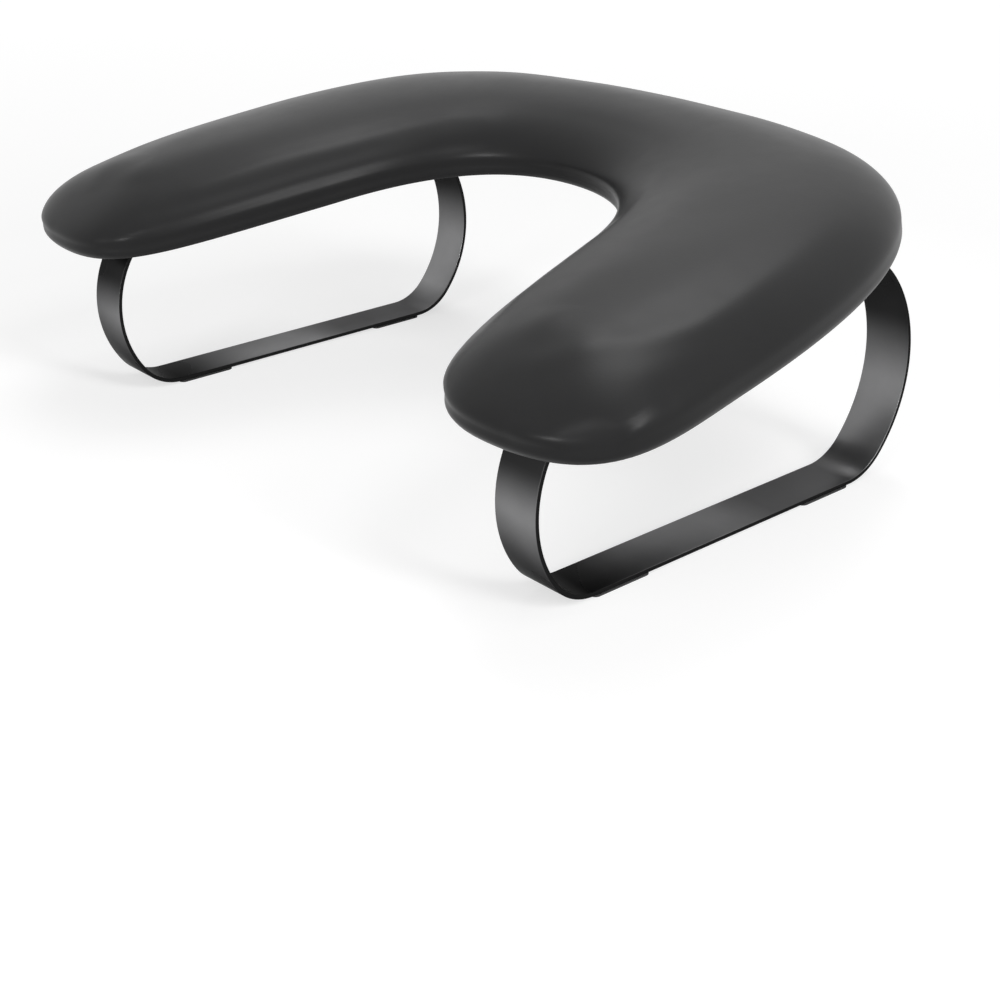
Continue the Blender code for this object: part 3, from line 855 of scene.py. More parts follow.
CREASES = (
    # Shoulder of the arm
    Crease(7.0 * MM, -0.6 * MM, 0.8, (
        (175.0, -124.8, 24.3), (184.7, -112.0, 28.5), (201.2, -90.7, 28.4), (208.0, -64.6, 26.7),
        (207.2, -41.8, 26.1), (201.0, -3.2, 26.6), (187.2, 52.6, 25.2),
    )),
    # Inner ridge of the arm, and the valley below it
    Crease(5.0 * MM, -0.5 * MM, 0.8, (
        (-132.1, -103.9, 24.2), (-123.2, -81.5, 24.7), (-115.4, -48.4, 25.9),
        (-105.8, -15.9, 25.1), (-93.0, 22.4, 25.9), (-78.1, 45.6, 26.6), (-54.4, 61.0, 25.6),
    )),
    Crease(5.0 * MM, 0.7 * MM, 0.8, (
        (-134.5, -125.2, 18.6), (-125.1, -109.5, 19.4), (-118.5, -92.0, 20.0),
        (-110.4, -65.9, 20.2), (-103.7, -38.2, 20.8), (-92.8, 0.5, 20.9), (-73.9, 34.0, 21.6),
    )),
    # Fold at the notch
    Crease(9.0 * MM, 0.2 * MM, 0.8, (
        (66.9, 29.7, 12.7), (74.0, 37.0, 22.0), (66.0, 55.0, 27.0),
    )),
    # Outer corner of the tip: its shoulder, its dent and the ridges beside that
    Crease(9.0 * MM, -0.4 * MM, 0.3, (
        (160.0, -131.0, 22.5), (178.0, -120.0, 26.0), (198.0, -100.0, 27.5),
    )),
    Crease(6.0 * MM, 0.6 * MM, 0.3, (
        (208.0, -140.0, 10.0), (217.3, -132.7, 10.5), (222.5, -126.5, 10.5),
    )),
    Crease(4.0 * MM, -1.0 * MM, 0.3, (
        (183.0, -146.6, 10.0), (196.7, -144.1, 10.4), (209.5, -139.0, 10.6),
    )),
    Crease(4.5 * MM, -1.1 * MM, 0.3, (
        (222.5, -127.0, 9.5), (224.0, -120.0, 11.9), (224.9, -102.9, 17.0),
    )),
    # Inner corner of the tip: a ridge and a dent
    Crease(4.5 * MM, -0.8 * MM, 0.3, (
        (-135.0, -137.5, 10.0), (-129.0, -130.6, 10.8), (-121.0, -118.0, 12.5),
    )),
    Crease(5.0 * MM, 0.5 * MM, 0.3, (
        (-143.0, -144.0, 9.5), (-138.8, -140.3, 9.7), (-134.5, -137.0, 9.7),
    )),
)


CLOTH = {
    "quality": 6,
    "mass": 0.4,
    "tension_stiffness": 30.0,
    "compression_stiffness": 30.0,
    "shear_stiffness": 12.0,
    "bending_stiffness": 4.0,
    "use_pressure": True,
}


@dataclass(frozen=True)
class PaddedCover:
    """The leather cover stretched over the foam and folded in under the board."""

    plan: CushionPlan
    crown_height: float = 32.9 * MM
    crown_run: float = 62.4 * MM
    crest_start: float = 0.5
    crest_fall: float = 0.0124
    tip_thinning: float = 0.27
    thinning_start_q: float = -40.8 * MM
    band_height: float = 3.2 * MM
    band_lean: float = 1.9 * MM
    crown_fullness: float = 0.80
    side_fullness: float = 0.935
    leather: float = 1.0 * MM
    hem: float = 18.0 * MM
    hem_stops: tuple[float, ...] = (1.0, 0.66, 0.33, 0.08)
    rim_turn: float = 0.5 * MM
    levels: int = 20
    slack: float = 0.2 * MM
    pressure: float = 4.0
    last_frame: int = 20
    most_swell: float = 2.5 * MM
    board_edge: float = 6.4 * MM
    edge_width: float = 2.5 * MM
    edge_depth: float = 0.75 * MM
    edge_lip: float = 3.8 * MM
    edge_out: float = 0.6 * MM
    edge_flare: float = 7.0 * MM
    edge_ease: float = 0.65
    waves_per_metre: float = 22.0
    wave_depth: float = 0.35 * MM
    waves_full: float = 4.0
    held_share: float = 0.3

    def full_height(self, q: float) -> float:
        """Height of the fully risen crown above the lower rim.

        Args:
            q: How far up the slope the place lies.

        Returns:
            The height, less where the arm thins towards its tip.
        """
        way = (self.thinning_start_q - q) / (self.thinning_start_q + self.plan.tip_reach)
        taper = self.tip_thinning * min(max(way, 0.0), 1.0) ** 2
        return (self.crown_height - self.slack - self.crest_fall * q) * (1 - taper)

    def crown(self, run: float, q: float) -> float:
        """Height of the cover this far in from the rim, before it levels off at the crest.

        Args:
            run: Distance in from the rim.
            q: How far up the slope the place lies.

        Returns:
            The height above the lower rim.
        """
        share = min((run + self.band_lean) / (self.crown_run + self.band_lean), 1.0)
        angle = math.acos((1 - share) ** (1 / self.side_fullness))
        rise = (self.full_height(q) - self.band_height) * math.sin(angle) ** self.crown_fullness
        return self.band_height + rise

    def section(self, ray: Ray) -> list[Flat]:
        """Outside of the cover across one ray, from the hem's edge to the crest.

        Args:
            ray: The ray that the section lies on.

        Returns:
            Points as (distance in from the rim, height).
        """
        edge = self.rim_turn
        lean = self.band_lean * edge / self.band_height
        points = [(share * self.hem, 0.0) for share in self.hem_stops]
        points += [(edge * 0.4, 0.0), (-lean * 0.2, edge * 0.4), (-lean * 2, edge * 2)]
        crest = self.crown(ray.half_width, ray.start.y)
        for level in range(self.levels):
            angle = math.pi / 2 * level / (self.levels - 1)
            way = 1 - math.cos(angle) if level < self.levels - 1 else 1.0
            run = (ray.reach + self.band_lean) * way - self.band_lean
            levelled = ease(way, self.crest_start, 1.0)
            free = self.crown(run, ray.start.y + ray.heading.y * (ray.reach - run))
            points.append((run, free + (crest - free) * levelled))
        return points

    def build(self, finish: bpy.types.Material) -> bpy.types.Object:
        """Args:
            finish: The leather.

        Returns:
            The cover.
        """
        bm = draped_grid(self.plan.rays(), self.section)
        cover = smooth_object("leather_cover", bm, finish)
        self.swell(cover)
        smooth = cover.modifiers.new("Smooth", "SUBSURF")
        smooth.levels = smooth.render_levels = 1
        bake_modifiers(cover)
        self.fold(cover)
        wall = cover.modifiers.new("Leather", "SOLIDIFY")
        wall.thickness = self.leather
        wall.offset = -1.0
        bake_modifiers(cover)
        cover.data.transform(self.plan.matrix())
        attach(cover, BODY)
        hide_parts("cushion_cover")
        return cover

    def swell(self, cover: bpy.types.Object) -> None:
        """Lets the cover take its own tight shape over the foam, held at its band and hem.

        Args:
            cover: The cover, in the cushion's own frame.
        """
        before = [vert.co.copy() for vert in cover.data.vertices]
        held = cover.vertex_groups.new(name="stapled")
        firm = self.band_height * 1.02
        held.add([index for index, co in enumerate(before) if co.z <= firm], 1.0, "REPLACE")
        cloth = cover.modifiers.new("Stretched cover", "CLOTH")
        for name, value in CLOTH.items():
            setattr(cloth.settings, name, value)
        cloth.settings.uniform_pressure_force = self.pressure
        cloth.settings.vertex_group_mass = held.name
        cloth.settings.effector_weights.gravity = 0.0
        cloth.collision_settings.use_collision = False
        cloth.point_cache.frame_start = 1
        cloth.point_cache.frame_end = self.last_frame
        scene = bpy.context.scene
        for frame in range(1, self.last_frame + 1):
            scene.frame_set(frame)
        graph = bpy.context.evaluated_depsgraph_get()
        after = [vert.co.copy() for vert in cover.evaluated_get(graph).data.vertices]
        cover.modifiers.clear()
        cover.vertex_groups.clear()
        scene.frame_set(1)
        largest = 0.0
        for vert, old, new in zip(cover.data.vertices, before, after):
            move = new - old
            largest = max(largest, move.length)
            if move.length > self.most_swell:
                move *= self.most_swell / move.length
            vert.co = old + move
        LOG.info("cover swelled by up to %.2f mm", largest / MM)

    def fold(self, cover: bpy.types.Object) -> None:
        """Presses in the creases, the board's edge and a slow unevenness of stretched leather.

        Args:
            cover: The cover, in the cushion's own frame.
        """
        verts = cover.data.vertices
        places, normals = np.empty(len(verts) * 3), np.empty(len(verts) * 3)
        verts.foreach_get("co", places)
        verts.foreach_get("normal", normals)
        places, normals = places.reshape(-1, 3), normals.reshape(-1, 3)
        move = sum(twin.push(places) for crease in CREASES for twin in crease.both())
        move += self.edge_line(places, normals)
        spots = (Vector(place) * self.waves_per_metre for place in places)
        waves = np.array([noise.noise(spot) for spot in spots])
        height = places[:, 2] / self.band_height
        move += waves * self.wave_depth * np.clip(height / self.waves_full, 0.0, 1.0)
        move *= height > self.held_share
        LOG.info("folds move the cover by %.2f to %.2f mm", move.min() / MM, move.max() / MM)
        verts.foreach_set("co", (places - normals * move[:, None]).ravel())
        cover.data.update()

    def edge_line(self, places: np.ndarray, normals: np.ndarray) -> np.ndarray:
        """The line where the leather leaves the board's edge: a groove under a slight lip.

        Args:
            places: Points of the cover, in the cushion's own frame.
            normals: Its normals there.

        Returns:
            The inward moves; the line is weaker on the outside of the U.
        """
        outward = np.maximum(normals[:, 0] * np.sign(places[:, 0]), normals[:, 1])
        strength = 1.0 - self.edge_ease * np.clip(outward, 0.0, 1.0)
        above = places[:, 2] - self.board_edge
        groove = np.exp(-((above / self.edge_width) ** 2))
        beyond = above - self.edge_lip
        spread = np.where(beyond > 0.0, self.edge_flare, self.edge_width)
        lip = np.exp(-((beyond / spread) ** 2))
        return strength * (self.edge_depth * groove - self.edge_out * lip)


# Legs


@dataclass(frozen=True)
class Shelter:
    """How the cushion above and the floor below close a leg's strip in, for the shade painted into
    its coat.

    The strip's colour is painted dark up to shade_end under the cushion and light from light_start
    on.
    A run is a stretch of y; every other pair is a value at the front and one at the rear.
    """

    turnover: Flat = (-80.0 * MM, 80.0 * MM)
    floor_reach: Flat = (48.0 * MM, 14.0 * MM)
    floor_power: Flat = (1.7, 1.0)
    bright_run: Flat = (-97.0 * MM, -32.0 * MM)
    dim_run: Flat = (-10.0 * MM, 25.0 * MM)
    dimming: float = 0.6
    shade_end: Flat = (18.0 * MM, 44.0 * MM)
    light_start: Flat = (42.0 * MM, 84.0 * MM)
    least: float = 0.05


class LoopEnd(NamedTuple):
    """Measures of a loop's rounded end.

    Inset is how far the centre of its large arc lies in from the cushion's end. Bulge is how much
    larger the arc is than half the loop's height, and drop how far its centre is below the middle.
    """

    inset: float
    bulge: float
    drop: float
    floor_bend: float


@dataclass(frozen=True)
class LegLoop:
    """One closed loop of flat strip under an arm."""

    plan: CushionPlan
    side: Side
    width: float = 25.0 * MM
    thickness: float = 2.2 * MM
    eased_edge: float = 0.45 * MM
    floor_gap: float = 1.3 * MM
    bar_top: float = -1.1 * MM
    front: LoopEnd = LoopEnd(75.9 * MM, 10.4 * MM, 1.0 * MM, 28.0 * MM)
    rear: LoopEnd = LoopEnd(100.1 * MM, 10.1 * MM, 2.0 * MM, 30.0 * MM)
    top_bend: float = 22.0 * MM
    arc_step: float = math.radians(2.0)
    straight_steps: int = 16
    shelter: Shelter = Shelter()

    def bar_height(self, y: float) -> float:
        """Height above the floor of the upper face of the top run."""
        slope = self.plan.tilt
        return self.plan.rim_height + y * math.tan(slope) + self.bar_top / math.cos(slope)

    def end(self, end: End) -> list[Flat]:
        """One rounded end, from the floor run up to the top run, as (y, z) points.

        Args:
            end: Which end.

        Returns:
            A large arc between two tighter bends.
        """
        inset, bulge, drop, floor_bend = self.front if end is End.FRONT else self.rear
        y = self.plan.inside_end(end, inset)
        facing, slope = end.value, self.plan.tilt
        half_height = (self.bar_height(y) - self.floor_gap) / 2
        centre = Vector((y, self.floor_gap + half_height - drop))
        radius = half_height + bulge
        normal, along = Vector((-math.sin(slope), math.cos(slope))), unit(slope)
        below = (self.bar_height(y) - centre.y) * math.cos(slope) - self.top_bend
        floor_z = self.floor_gap + floor_bend
        floor_run = math.sqrt((radius - floor_bend) ** 2 - (centre.y - floor_z) ** 2)
        floor_centre = Vector((y + facing * floor_run, floor_z))
        top_run = math.sqrt((radius - self.top_bend) ** 2 - below**2)
        top_centre = centre + normal * below + along * facing * top_run
        first = self.angle(floor_centre - centre, facing)
        second = self.angle(top_centre - centre, facing)
        last = self.angle(normal, facing)
        points = self.arc(floor_centre, floor_bend, -math.pi / 2, first, facing)
        points += self.arc(centre, radius, first, second, facing)[1:]
        points += self.arc(top_centre, self.top_bend, second, last, facing)[1:]
        return points

    @staticmethod
    def angle(way: Vector, facing: int) -> float:
        """Angle of a direction above the horizontal on the side that an end faces."""
        return math.atan2(way.y, way.x * facing)

    def arc(
        self, centre: Vector, radius: float, start: float, end: float, facing: int
    ) -> list[Flat]:
        """Points of an arc.

        Args:
            centre: Its centre.
            radius: Its radius.
            start: Its first angle above the horizontal.
            end: Its last angle.
            facing: -1 for the front and 1 for the rear.

        Returns:
            Points from start to end.
        """
        steps = max(2, round((end - start) / self.arc_step))
        points = []
        for step in range(steps + 1):
            angle = start + (end - start) * step / steps
            way = Vector((facing * math.cos(angle), math.sin(angle)))
            points.append(tuple(centre + way * radius))
        return points

    def path(self) -> list[Flat]:
        """Outer side of the strip as one closed loop, with its straight runs divided too.

        Returns:
            Points as (y, z).
        """
        rear, front = self.end(End.REAR), self.end(End.FRONT)[::-1]
        top = self.between(rear[-1], front[0])
        floor = self.between(front[-1], rear[0])
        return rear + top + front + floor

    def between(self, start: Flat, end: Flat) -> list[Flat]:
        """Points inside a straight run, without its ends.

        Args:
            start: First end of the run.
            end: Its last end.

        Returns:
            The points, evenly spaced.
        """
        a, b = Vector(start), Vector(end)
        shares = (step / self.straight_steps for step in range(1, self.straight_steps))
        return [tuple(a.lerp(b, share)) for share in shares]

    def openness(self, place: Vector) -> float:
        """How open to the room a place on the strip is, from 0 under the cushion to 1; the coat's
        colour is painted with it as shade.

        Args:
            place: A place on the strip.

        Returns:
            The share of light that reaches it.
        """
        shelter = self.shelter
        rear = ease(place.y, *shelter.turnover)
        floor_reach = mixed(shelter.floor_reach, rear)
        off_floor = min(max(place.z, 0.0) / floor_reach, 1.0) ** mixed(shelter.floor_power, rear)
        dimmed = 1 - shelter.dimming * ease(place.y, *shelter.dim_run)
        along = ease(place.y, *shelter.bright_run) * dimmed
        drop = self.bar_height(place.y) - place.z
        below = ease(drop, mixed(shelter.shade_end, rear), mixed(shelter.light_start, rear))
        return max(off_floor, along) * mixed((shelter.least, 1.0), below)

    def build(self, finish: bpy.types.Material) -> bpy.types.Object:
        """Makes the loop.

        Args:
            finish: The coated steel.

        Returns:
            The loop.
        """
        node = f"{self.side.label}_leg"
        low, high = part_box(node)
        middle = (low.x + high.x) / 2
        path = self.path()
        bm = bmesh.new()
        bmesh.ops.create_grid(bm, x_segments=len(path), y_segments=1, size=0.5)
        for vert in bm.verts:
            y, z = path[round((vert.co.x + 0.5) * len(path)) % len(path)]
            vert.co = Vector((middle + math.copysign(self.width / 2, vert.co.y), y, z))
        bmesh.ops.remove_doubles(bm, verts=bm.verts, dist=MERGE)
        bmesh.ops.recalc_face_normals(bm, faces=bm.faces)
        if min(bm.faces, key=lambda face: face.calc_center_median().z).normal.z > 0:
            bmesh.ops.reverse_faces(bm, faces=bm.faces)
        loop = smooth_object(f"{self.side.label}_strip_loop", bm, finish)
        wall = loop.modifiers.new("Strip", "SOLIDIFY")
        wall.thickness = self.thickness
        wall.offset = -1.0
        wall.use_even_offset = True
        edges = loop.modifiers.new("Eased edges", "BEVEL")
        edges.width = self.eased_edge
        edges.segments = 3
        edges.limit_method = "ANGLE"
        edges.angle_limit = math.radians(60)
        bake_modifiers(loop)
        # Painted shade: each vertex keeps the share of light that reaches it, for the coat's
        # colour.
        brightness_paint = loop.data.attributes.new(BRIGHTNESS_PAINT_ATTRIBUTE, "FLOAT", "POINT")
        brightness_paint.data.foreach_set("value", [self.openness(vert.co) for vert in loop.data.vertices])
        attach(loop, BODY)
        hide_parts(node)
        return loop


@dataclass(frozen=True)
class FloorPad:
    """An anti-slip pad glued under a leg."""

    side: Side
    end: End
    corner: float = 3.0 * MM
    soft_edge: float = 0.3 * MM

    def build(self, finish: bpy.types.Material) -> bpy.types.Object:
        """Makes the pad in its CAD node's place.

        Args:
            finish: The rubber.

        Returns:
            The pad.
        """
        node = f"{self.side.label}_{self.end.label}_pad"
        low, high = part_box(node)
        bm = bmesh.new()
        block = Matrix.LocRotScale((low + high) / 2, None, high - low)
        bmesh.ops.create_cube(bm, size=1.0, matrix=block)
        uprights = [
            edge for edge in bm.edges if abs(edge.verts[0].co.z - edge.verts[1].co.z) > MERGE
        ]
        round_over(bm, uprights, self.corner, 6)
        rims = [edge for edge in bm.edges if abs(edge.calc_face_angle(0.0)) > math.radians(60)]
        round_over(bm, rims, self.soft_edge, 2)
        pad = smooth_object(f"{self.side.label}_{self.end.label}_grip", bm, finish)
        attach(pad, BODY)
        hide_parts(node)
        return pad


@dataclass(frozen=True)
class LegScrew:
    """A domed screw with a cross recess, up through a leg into the board."""

    plan: CushionPlan
    side: Side
    end: End
    diameter: float = 5.0 * MM
    length: float = 12.0 * MM
    head_diameter: float = 9.0 * MM
    head_height: float = 3.2 * MM
    seat: float = -3.6 * MM
    front_in: float = 52.3 * MM
    rear_in: float = 90.4 * MM
    slot_length: float = 5.0 * MM
    slot_width: float = 1.3 * MM
    slot_depth: float = 1.6 * MM
    slot_taper: float = 0.7
    sides: int = 48
    dome_steps: int = 10
    thread_pitch: float = 0.8 * MM
    thread_depth: float = 0.36 * MM
    rim_share: float = 0.25
    rim_cut: float = 0.15 * MM

    def profile(self) -> list[Flat]:
        """Outside of the screw from the end of its shank to the middle of its head.

        Returns:
            Points as (radius, height).
        """
        shank = self.diameter / 2
        top = self.seat + self.length
        groove = self.thread_depth
        points = [(0.0, top), (shank - groove, top)]
        height = top - self.thread_pitch / 2
        while height > self.seat + 2 * self.thread_pitch:
            points += [(shank, height), (shank - groove, height - self.thread_pitch / 2)]
            height -= self.thread_pitch
        points += [(shank, self.seat + self.thread_pitch), (shank, self.seat)]
        edge = self.rim_share * self.head_height
        points.append((self.head_diameter / 2 - self.rim_cut, self.seat))
        points.append((self.head_diameter / 2, self.seat - self.rim_cut))
        for step in range(self.dome_steps + 1):
            angle = math.pi / 2 * step / self.dome_steps
            radius = self.head_diameter / 2 * math.cos(angle)
            drop = edge + (self.head_height - edge) * math.sin(angle)
            points.append((radius if step < self.dome_steps else 0.0, self.seat - drop))
        return points

    def build(self, finish: bpy.types.Material) -> bpy.types.Object:
        """Makes the screw in its CAD node's place.

        Args:
            finish: The plated steel.

        Returns:
            The screw.
        """
        node = f"{self.side.label}_{self.end.label}_screw"
        low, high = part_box(node)
        inset = self.front_in if self.end is End.FRONT else self.rear_in
        q = self.plan.inside_end(self.end, inset)
        bm = bmesh.new()
        line = [bm.verts.new((radius, 0.0, height)) for radius, height in self.profile()]
        edges = [bm.edges.new(pair) for pair in zip(line, line[1:])]
        bmesh.ops.spin(
            bm,
            geom=line + edges,
            cent=(0.0, 0.0, 0.0),
            axis=(0.0, 0.0, 1.0),
            angle=math.tau,
            steps=self.sides,
            use_merge=True,
        )
        bmesh.ops.remove_doubles(bm, verts=bm.verts, dist=MERGE)
        bmesh.ops.recalc_face_normals(bm, faces=bm.faces)
        screw = smooth_object(f"{self.side.label}_{self.end.label}_cross_screw", bm, finish)
        self.cut_recess(screw)
        place = Matrix.Translation(((low.x + high.x) / 2, q, 0.0))
        screw.data.transform(self.plan.matrix() @ place)
        screw.data.set_sharp_from_angle(angle=math.radians(35))
        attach(screw, BODY)
        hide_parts(node)
        return screw

    def cut_recess(self, screw: bpy.types.Object) -> None:
        """Cuts the cross recess into the head.

        Args:
            screw: The screw, standing on its own axis.
        """
        bottom = self.seat - self.head_height
        cutters = []
        for size in ((self.slot_length, self.slot_width), (self.slot_width, self.slot_length)):
            bm = bmesh.new()
            bmesh.ops.create_cube(bm, size=1.0)
            bmesh.ops.scale(bm, verts=bm.verts, vec=(*size, 2 * self.slot_depth))
            for vert in bm.verts:
                if vert.co.z > 0:
                    vert.co.xy *= self.slot_taper
            bmesh.ops.translate(bm, verts=bm.verts, vec=(0.0, 0.0, bottom))
            cutter = smooth_object("recess_cutter", bm, screw.data.materials[0])
            cutters.append(cutter)
            cut = screw.modifiers.new("Recess", "BOOLEAN")
            cut.operation = "DIFFERENCE"
            cut.solver = "EXACT"
            cut.object = cutter
        bake_modifiers(screw)
        for cutter in cutters:
            bpy.data.meshes.remove(cutter.data)


# Underside


@dataclass(frozen=True)
class LiningTrim:
    """The lining's folded edge and the staples that hold it to the board."""

    plan: CushionPlan
    lining_inset: float = 6.0 * MM
    fold_width: float = 9.0 * MM
    fold_thickness: float = 0.22 * MM
    fold_round: float = 0.3 * MM
    bite: float = 0.1 * MM
    lining_bottom: float = -0.8 * MM
    staple_length: float = 9.0 * MM
    staple_wire: Flat = (0.88 * MM, 0.55 * MM)
    staple_sunk: float = 0.11 * MM
    staple_pitch: float = 30.0 * MM
    staple_edge: float = 0.15 * MM
    leg_clearance: float = 20.0 * MM

    def fold_section(self, ray: Ray) -> list[Flat]:
        """Underside of the folded edge across one ray.

        Args:
            ray: The ray that the section lies on.

        Returns:
            Points as (distance in from the rim, height).
        """
        inner = self.lining_inset + self.fold_width
        outer = self.lining_inset + 2 * self.bite
        low, high = self.lining_bottom - self.fold_thickness, self.lining_bottom + self.bite
        return [
            (outer, high),
            (outer, low + self.bite),
            (outer + self.fold_round, low),
            (inner - self.fold_round, low),
            (inner, low + self.bite),
            (inner, high),
            (outer, high),
        ]

    def build_fold(self, finish: bpy.types.Material) -> bpy.types.Object:
        """Makes the folded edge as a thin closed band.

        Args:
            finish: The lining cloth.

        Returns:
            The band.
        """
        bm = draped_grid(self.plan.rays(), self.fold_section)
        fold = smooth_object("lining_fold", bm, finish)
        fold.data.transform(self.plan.matrix())
        fold.data.set_sharp_from_angle(angle=math.radians(40))
        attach(fold, BODY)
        return fold

    def staple_spots(self) -> list[tuple[Vector, Vector]]:
        """Places of the staples and the direction that each lies along.

        Returns:
            Pairs of a place and a unit vector.
        """
        rays = self.plan.rays()
        inset = self.lining_inset + self.fold_width / 2
        half = [ray.start + ray.heading * (ray.reach - inset) for ray in rays]
        length = sum((b - a).length for a, b in zip(half, half[1:]))
        count = round(length / self.staple_pitch)
        even = evenly(half, count + 1)
        spots = []
        for index in range(count):
            middle = (even[index] + even[index + 1]) / 2
            along = (even[index + 1] - even[index]).normalized()
            spots.append((middle, along))
            spots.append((Vector((-middle.x, middle.y)), Vector((-along.x, along.y))))
        return spots

    def build_staples(
        self, finish: bpy.types.Material, clear_of: Iterable[float]
    ) -> bpy.types.Object:
        """Makes all the staples as one piece.

        Args:
            finish: The plated wire.
            clear_of: X of each leg; no staple lies under a leg's strip.

        Returns:
            The staples.
        """
        bm = bmesh.new()
        width, wire = self.staple_wire
        height = self.lining_bottom - self.fold_thickness - wire / 2 + self.staple_sunk
        for spot, along in self.staple_spots():
            if any(abs(spot.x - x) < self.leg_clearance for x in clear_of):
                continue
            turn = Matrix.Rotation(math.atan2(along.y, along.x), 3, "Z").to_quaternion()
            size = (self.staple_length, width, wire)
            block = Matrix.LocRotScale((spot.x, spot.y, height), turn, size)
            bmesh.ops.create_cube(bm, size=1.0, matrix=block)
        round_over(bm, list(bm.edges), self.staple_edge, 1)
        staples = smooth_object("lining_staples", bm, finish)
        staples.data.transform(self.plan.matrix())
        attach(staples, BODY)
        return staples


# Studio


@dataclass(frozen=True)
class SoftBox:
    """One area light that looks at the object, placed by its direction from it."""

    name: str
    azimuth: float
    elevation: float
    size: Flat
    radiance: float
    distance: float = 1.8
    target: Place = (0.0, 0.0, 0.1)

    def build(self) -> None:
        """Adds the light; azimuth 0 stands in front and 90 on the right, in degrees."""
        turn, rise = math.radians(self.azimuth), math.radians(self.elevation)
        away = Vector((math.sin(turn), -math.cos(turn), 0.0)) * math.cos(rise)
        away.z = math.sin(rise)
        light = bpy.data.lights.new(self.name, "AREA")
        light.shape = "RECTANGLE"
        light.size, light.size_y = self.size
        light.energy = self.radiance * math.pi * self.size[0] * self.size[1]
        lamp = bpy.data.objects.new(self.name, light)
        lamp.location = Vector(self.target) + away * self.distance
        lamp.rotation_euler = (-away).to_track_quat("-Z", "Y").to_euler()
        bpy.context.scene.collection.objects.link(lamp)


@dataclass(frozen=True)
class Studio:
    """Floor, lights and camera."""

    azimuth: float = math.radians(49.40)
    elevation: float = math.radians(25.38)
    roll: float = math.radians(-0.40)
    place: Place = (0.6164, -0.5209, 0.3355)
    focal_pixels: float = 1644.5
    picture_pixels: float = 1000.0
    sensor: float = 36.0
    floor_size: float = 12.0
    ambient: float = 0.05
    floor_tone: float = 0.42
    floor_lift: float = 0.66
    floor_fade: Flat = (0.5, 2.2)
    boxes: tuple[SoftBox, ...] = (
        SoftBox("overhead", 222.0, 63.0, (0.9, 0.9), 4.0),
        SoftBox("top", 180.0, 85.0, (0.7, 0.7), 1.5),
        SoftBox("front", 12.0, 12.0, (0.6, 0.36), 18.0),
        SoftBox("front_high", 25.0, 45.0, (0.6, 0.6), 2.9),
        SoftBox("right", 92.0, 25.0, (0.4, 0.9), 13.5),
        SoftBox("right_high", 85.0, 50.0, (0.5, 0.6), 9.2),
    )

    def build(self) -> None:
        """Sets the floor, the world, the lights and the camera."""
        self.floor()
        self.world()
        for box in self.boxes:
            box.build()
        self.camera()
        bpy.context.scene.view_settings.view_transform = "Standard"

    def background_rays(self, board: NodeBoard) -> bpy.types.NodeSocket:
        """1 for rays that see the background as white, else 0.

        Args:
            board: The board of the floor's or the world's nodes.

        Returns:
            The mask.
        """
        path = board.add("ShaderNodeLightPath")
        seen = board.math("MAXIMUM", path.outputs["Is Camera Ray"], path.outputs["Is Glossy Ray"])
        return board.math("MAXIMUM", seen, path.outputs["Is Transmission Ray"])

    def floor(self) -> None:
        """A pale floor that keeps the shadows and fades to white away from the object."""
        bm = bmesh.new()
        bmesh.ops.create_grid(bm, x_segments=1, y_segments=1, size=self.floor_size / 2)
        made = bpy.data.materials.new("studio_floor")
        surface = Surface(made)
        surface.put("Base Color", (self.floor_tone,) * 3)
        surface.put("Roughness", 1.0)
        surface.put("Specular IOR Level", 0.0)
        surface.put("Emission Color", WHITE)
        place = surface.place_on_object()
        away = surface.add("ShaderNodeVectorMath", {"operation": "LENGTH"}, Vector=place)
        near, far = self.floor_fade
        fade = surface.add(
            "ShaderNodeMapRange",
            Value=away.outputs["Value"],
            From_Min=near,
            From_Max=far,
            To_Min=self.floor_lift,
        )
        seen = self.background_rays(surface)
        surface.put("Emission Strength", surface.math("MULTIPLY", seen, fade.outputs["Result"]))
        floor = smooth_object("studio_floor", bm, made)

    def world(self) -> None:
        """White for the camera, and soft light for the object."""
        world = bpy.data.worlds.new("studio")
        world.use_nodes = True
        bpy.context.scene.world = world
        board = NodeBoard(world.node_tree)
        background = world.node_tree.nodes["Background"]
        board.feed(background.inputs["Color"], WHITE)
        strength = board.span(self.background_rays(board), self.ambient, 1.0)
        board.feed(background.inputs["Strength"], strength)

    def camera(self) -> None:
        """The camera of the large view."""
        turn, level = self.azimuth, math.cos(self.elevation)
        ahead = math.sin(turn) * level, math.cos(turn) * level
        forward = Vector((-ahead[0], ahead[1], -math.sin(self.elevation)))
        right = forward.cross(Vector((0.0, 0.0, 1.0))).normalized()
        up = right.cross(forward)
        rolled = Matrix.Rotation(-self.roll, 3, forward)
        right, up = rolled @ right, rolled @ up
        lens = bpy.data.cameras.new("large_view")
        lens.sensor_width = self.sensor
        lens.lens = self.focal_pixels * self.sensor / self.picture_pixels
        lens.clip_start, lens.clip_end = 0.02, 50.0
        eye = bpy.data.objects.new("large_view", lens)
        matrix = Matrix((right, up, -forward)).transposed().to_4x4()
        matrix.translation = Vector(self.place)
        eye.matrix_world = matrix
        bpy.context.scene.collection.objects.link(eye)
        bpy.context.scene.camera = eye


# Whole object


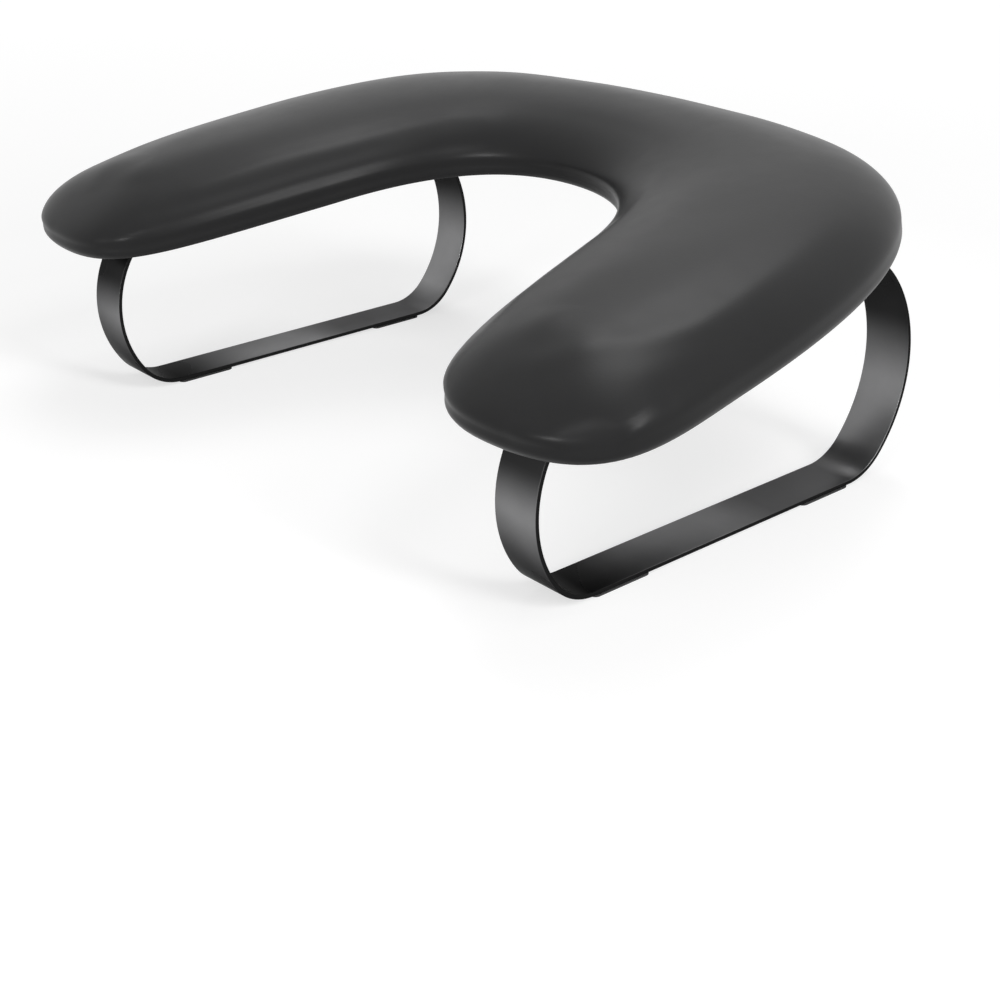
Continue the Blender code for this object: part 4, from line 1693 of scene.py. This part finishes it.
@dataclass(frozen=True)
class Finishes:
    """Every finish on the arm rest."""

    leather: Finish = LeatherFinish("black_leather", (0.0158, 0.0158, 0.0162), 0.33, specular=0.13)
    coat: Finish = PowderCoatFinish("black_powder_coat", (0.24, 0.24, 0.243), 0.34, metallic=0.85)
    rubber: Finish = RubberFinish("pad_rubber", (0.022, 0.022, 0.022), 0.88)
    zinc: Finish = ZincFinish("zinc_plate", (0.62, 0.63, 0.64), 0.32, metallic=1.0)
    lining: Finish = NonWovenFinish("lining_cloth", (0.026, 0.026, 0.028), 0.92)
    plywood: Finish = PlywoodFinish("raw_plywood", (0.50, 0.35, 0.21), 0.72)
    foam: Finish = FoamFinish("cream_foam", (0.80, 0.74, 0.58), 0.95)


def dress_node(name: str, nodes: dict[str, bpy.types.Object], finish: bpy.types.Material) -> None:
    """Gives a CAD node that stays its finish.

    Args:
        name: Name of the node.
        nodes: The CAD nodes by name.
        finish: Its material.
    """
    mesh = nodes[name].data
    mesh.materials.clear()
    mesh.materials.append(finish)


def build_rest(nodes: dict[str, bpy.types.Object]) -> None:
    """Builds and dresses the whole arm rest.

    Args:
        nodes: The CAD nodes by name.
    """
    effects = EffectGroups()
    finishes = Finishes()
    leather, coat, rubber, zinc, lining = (
        finish.material(effects)
        for finish in (
            finishes.leather,
            finishes.coat,
            finishes.rubber,
            finishes.zinc,
            finishes.lining,
        )
    )
    plan = CushionPlan()
    cover = PaddedCover(plan).build(leather)
    LOG.info("%s: %d faces", cover.name, len(cover.data.polygons))
    leg_centres = []
    for side in Side:
        loop = LegLoop(plan, side).build(coat)
        low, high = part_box(f"{side.label}_leg")
        leg_centres.append((low.x + high.x) / 2)
        LOG.info("%s: %d faces", loop.name, len(loop.data.polygons))
        for end in End:
            pad = FloorPad(side, end).build(rubber)
            screw = LegScrew(plan, side, end).build(zinc)
            LOG.info("%s and %s", pad.name, screw.name)
            dress_node(f"{side.label}_{end.label}_insert", nodes, zinc)
    trim = LiningTrim(plan)
    LOG.info("%s", trim.build_fold(lining).name)
    LOG.info("%s", trim.build_staples(zinc, leg_centres).name)
    dress_node("bottom_lining", nodes, lining)
    dress_node("base_board", nodes, finishes.plywood.material(effects))
    dress_node("foam_pad", nodes, finishes.foam.material(effects))


def main() -> None:
    """Loads the frame, builds the rest and its studio."""
    logging.basicConfig(level=logging.INFO, format="%(message)s")
    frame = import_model()
    build_rest(frame["nodes"])
    Studio().build()


if __name__ == "__main__":
    main()
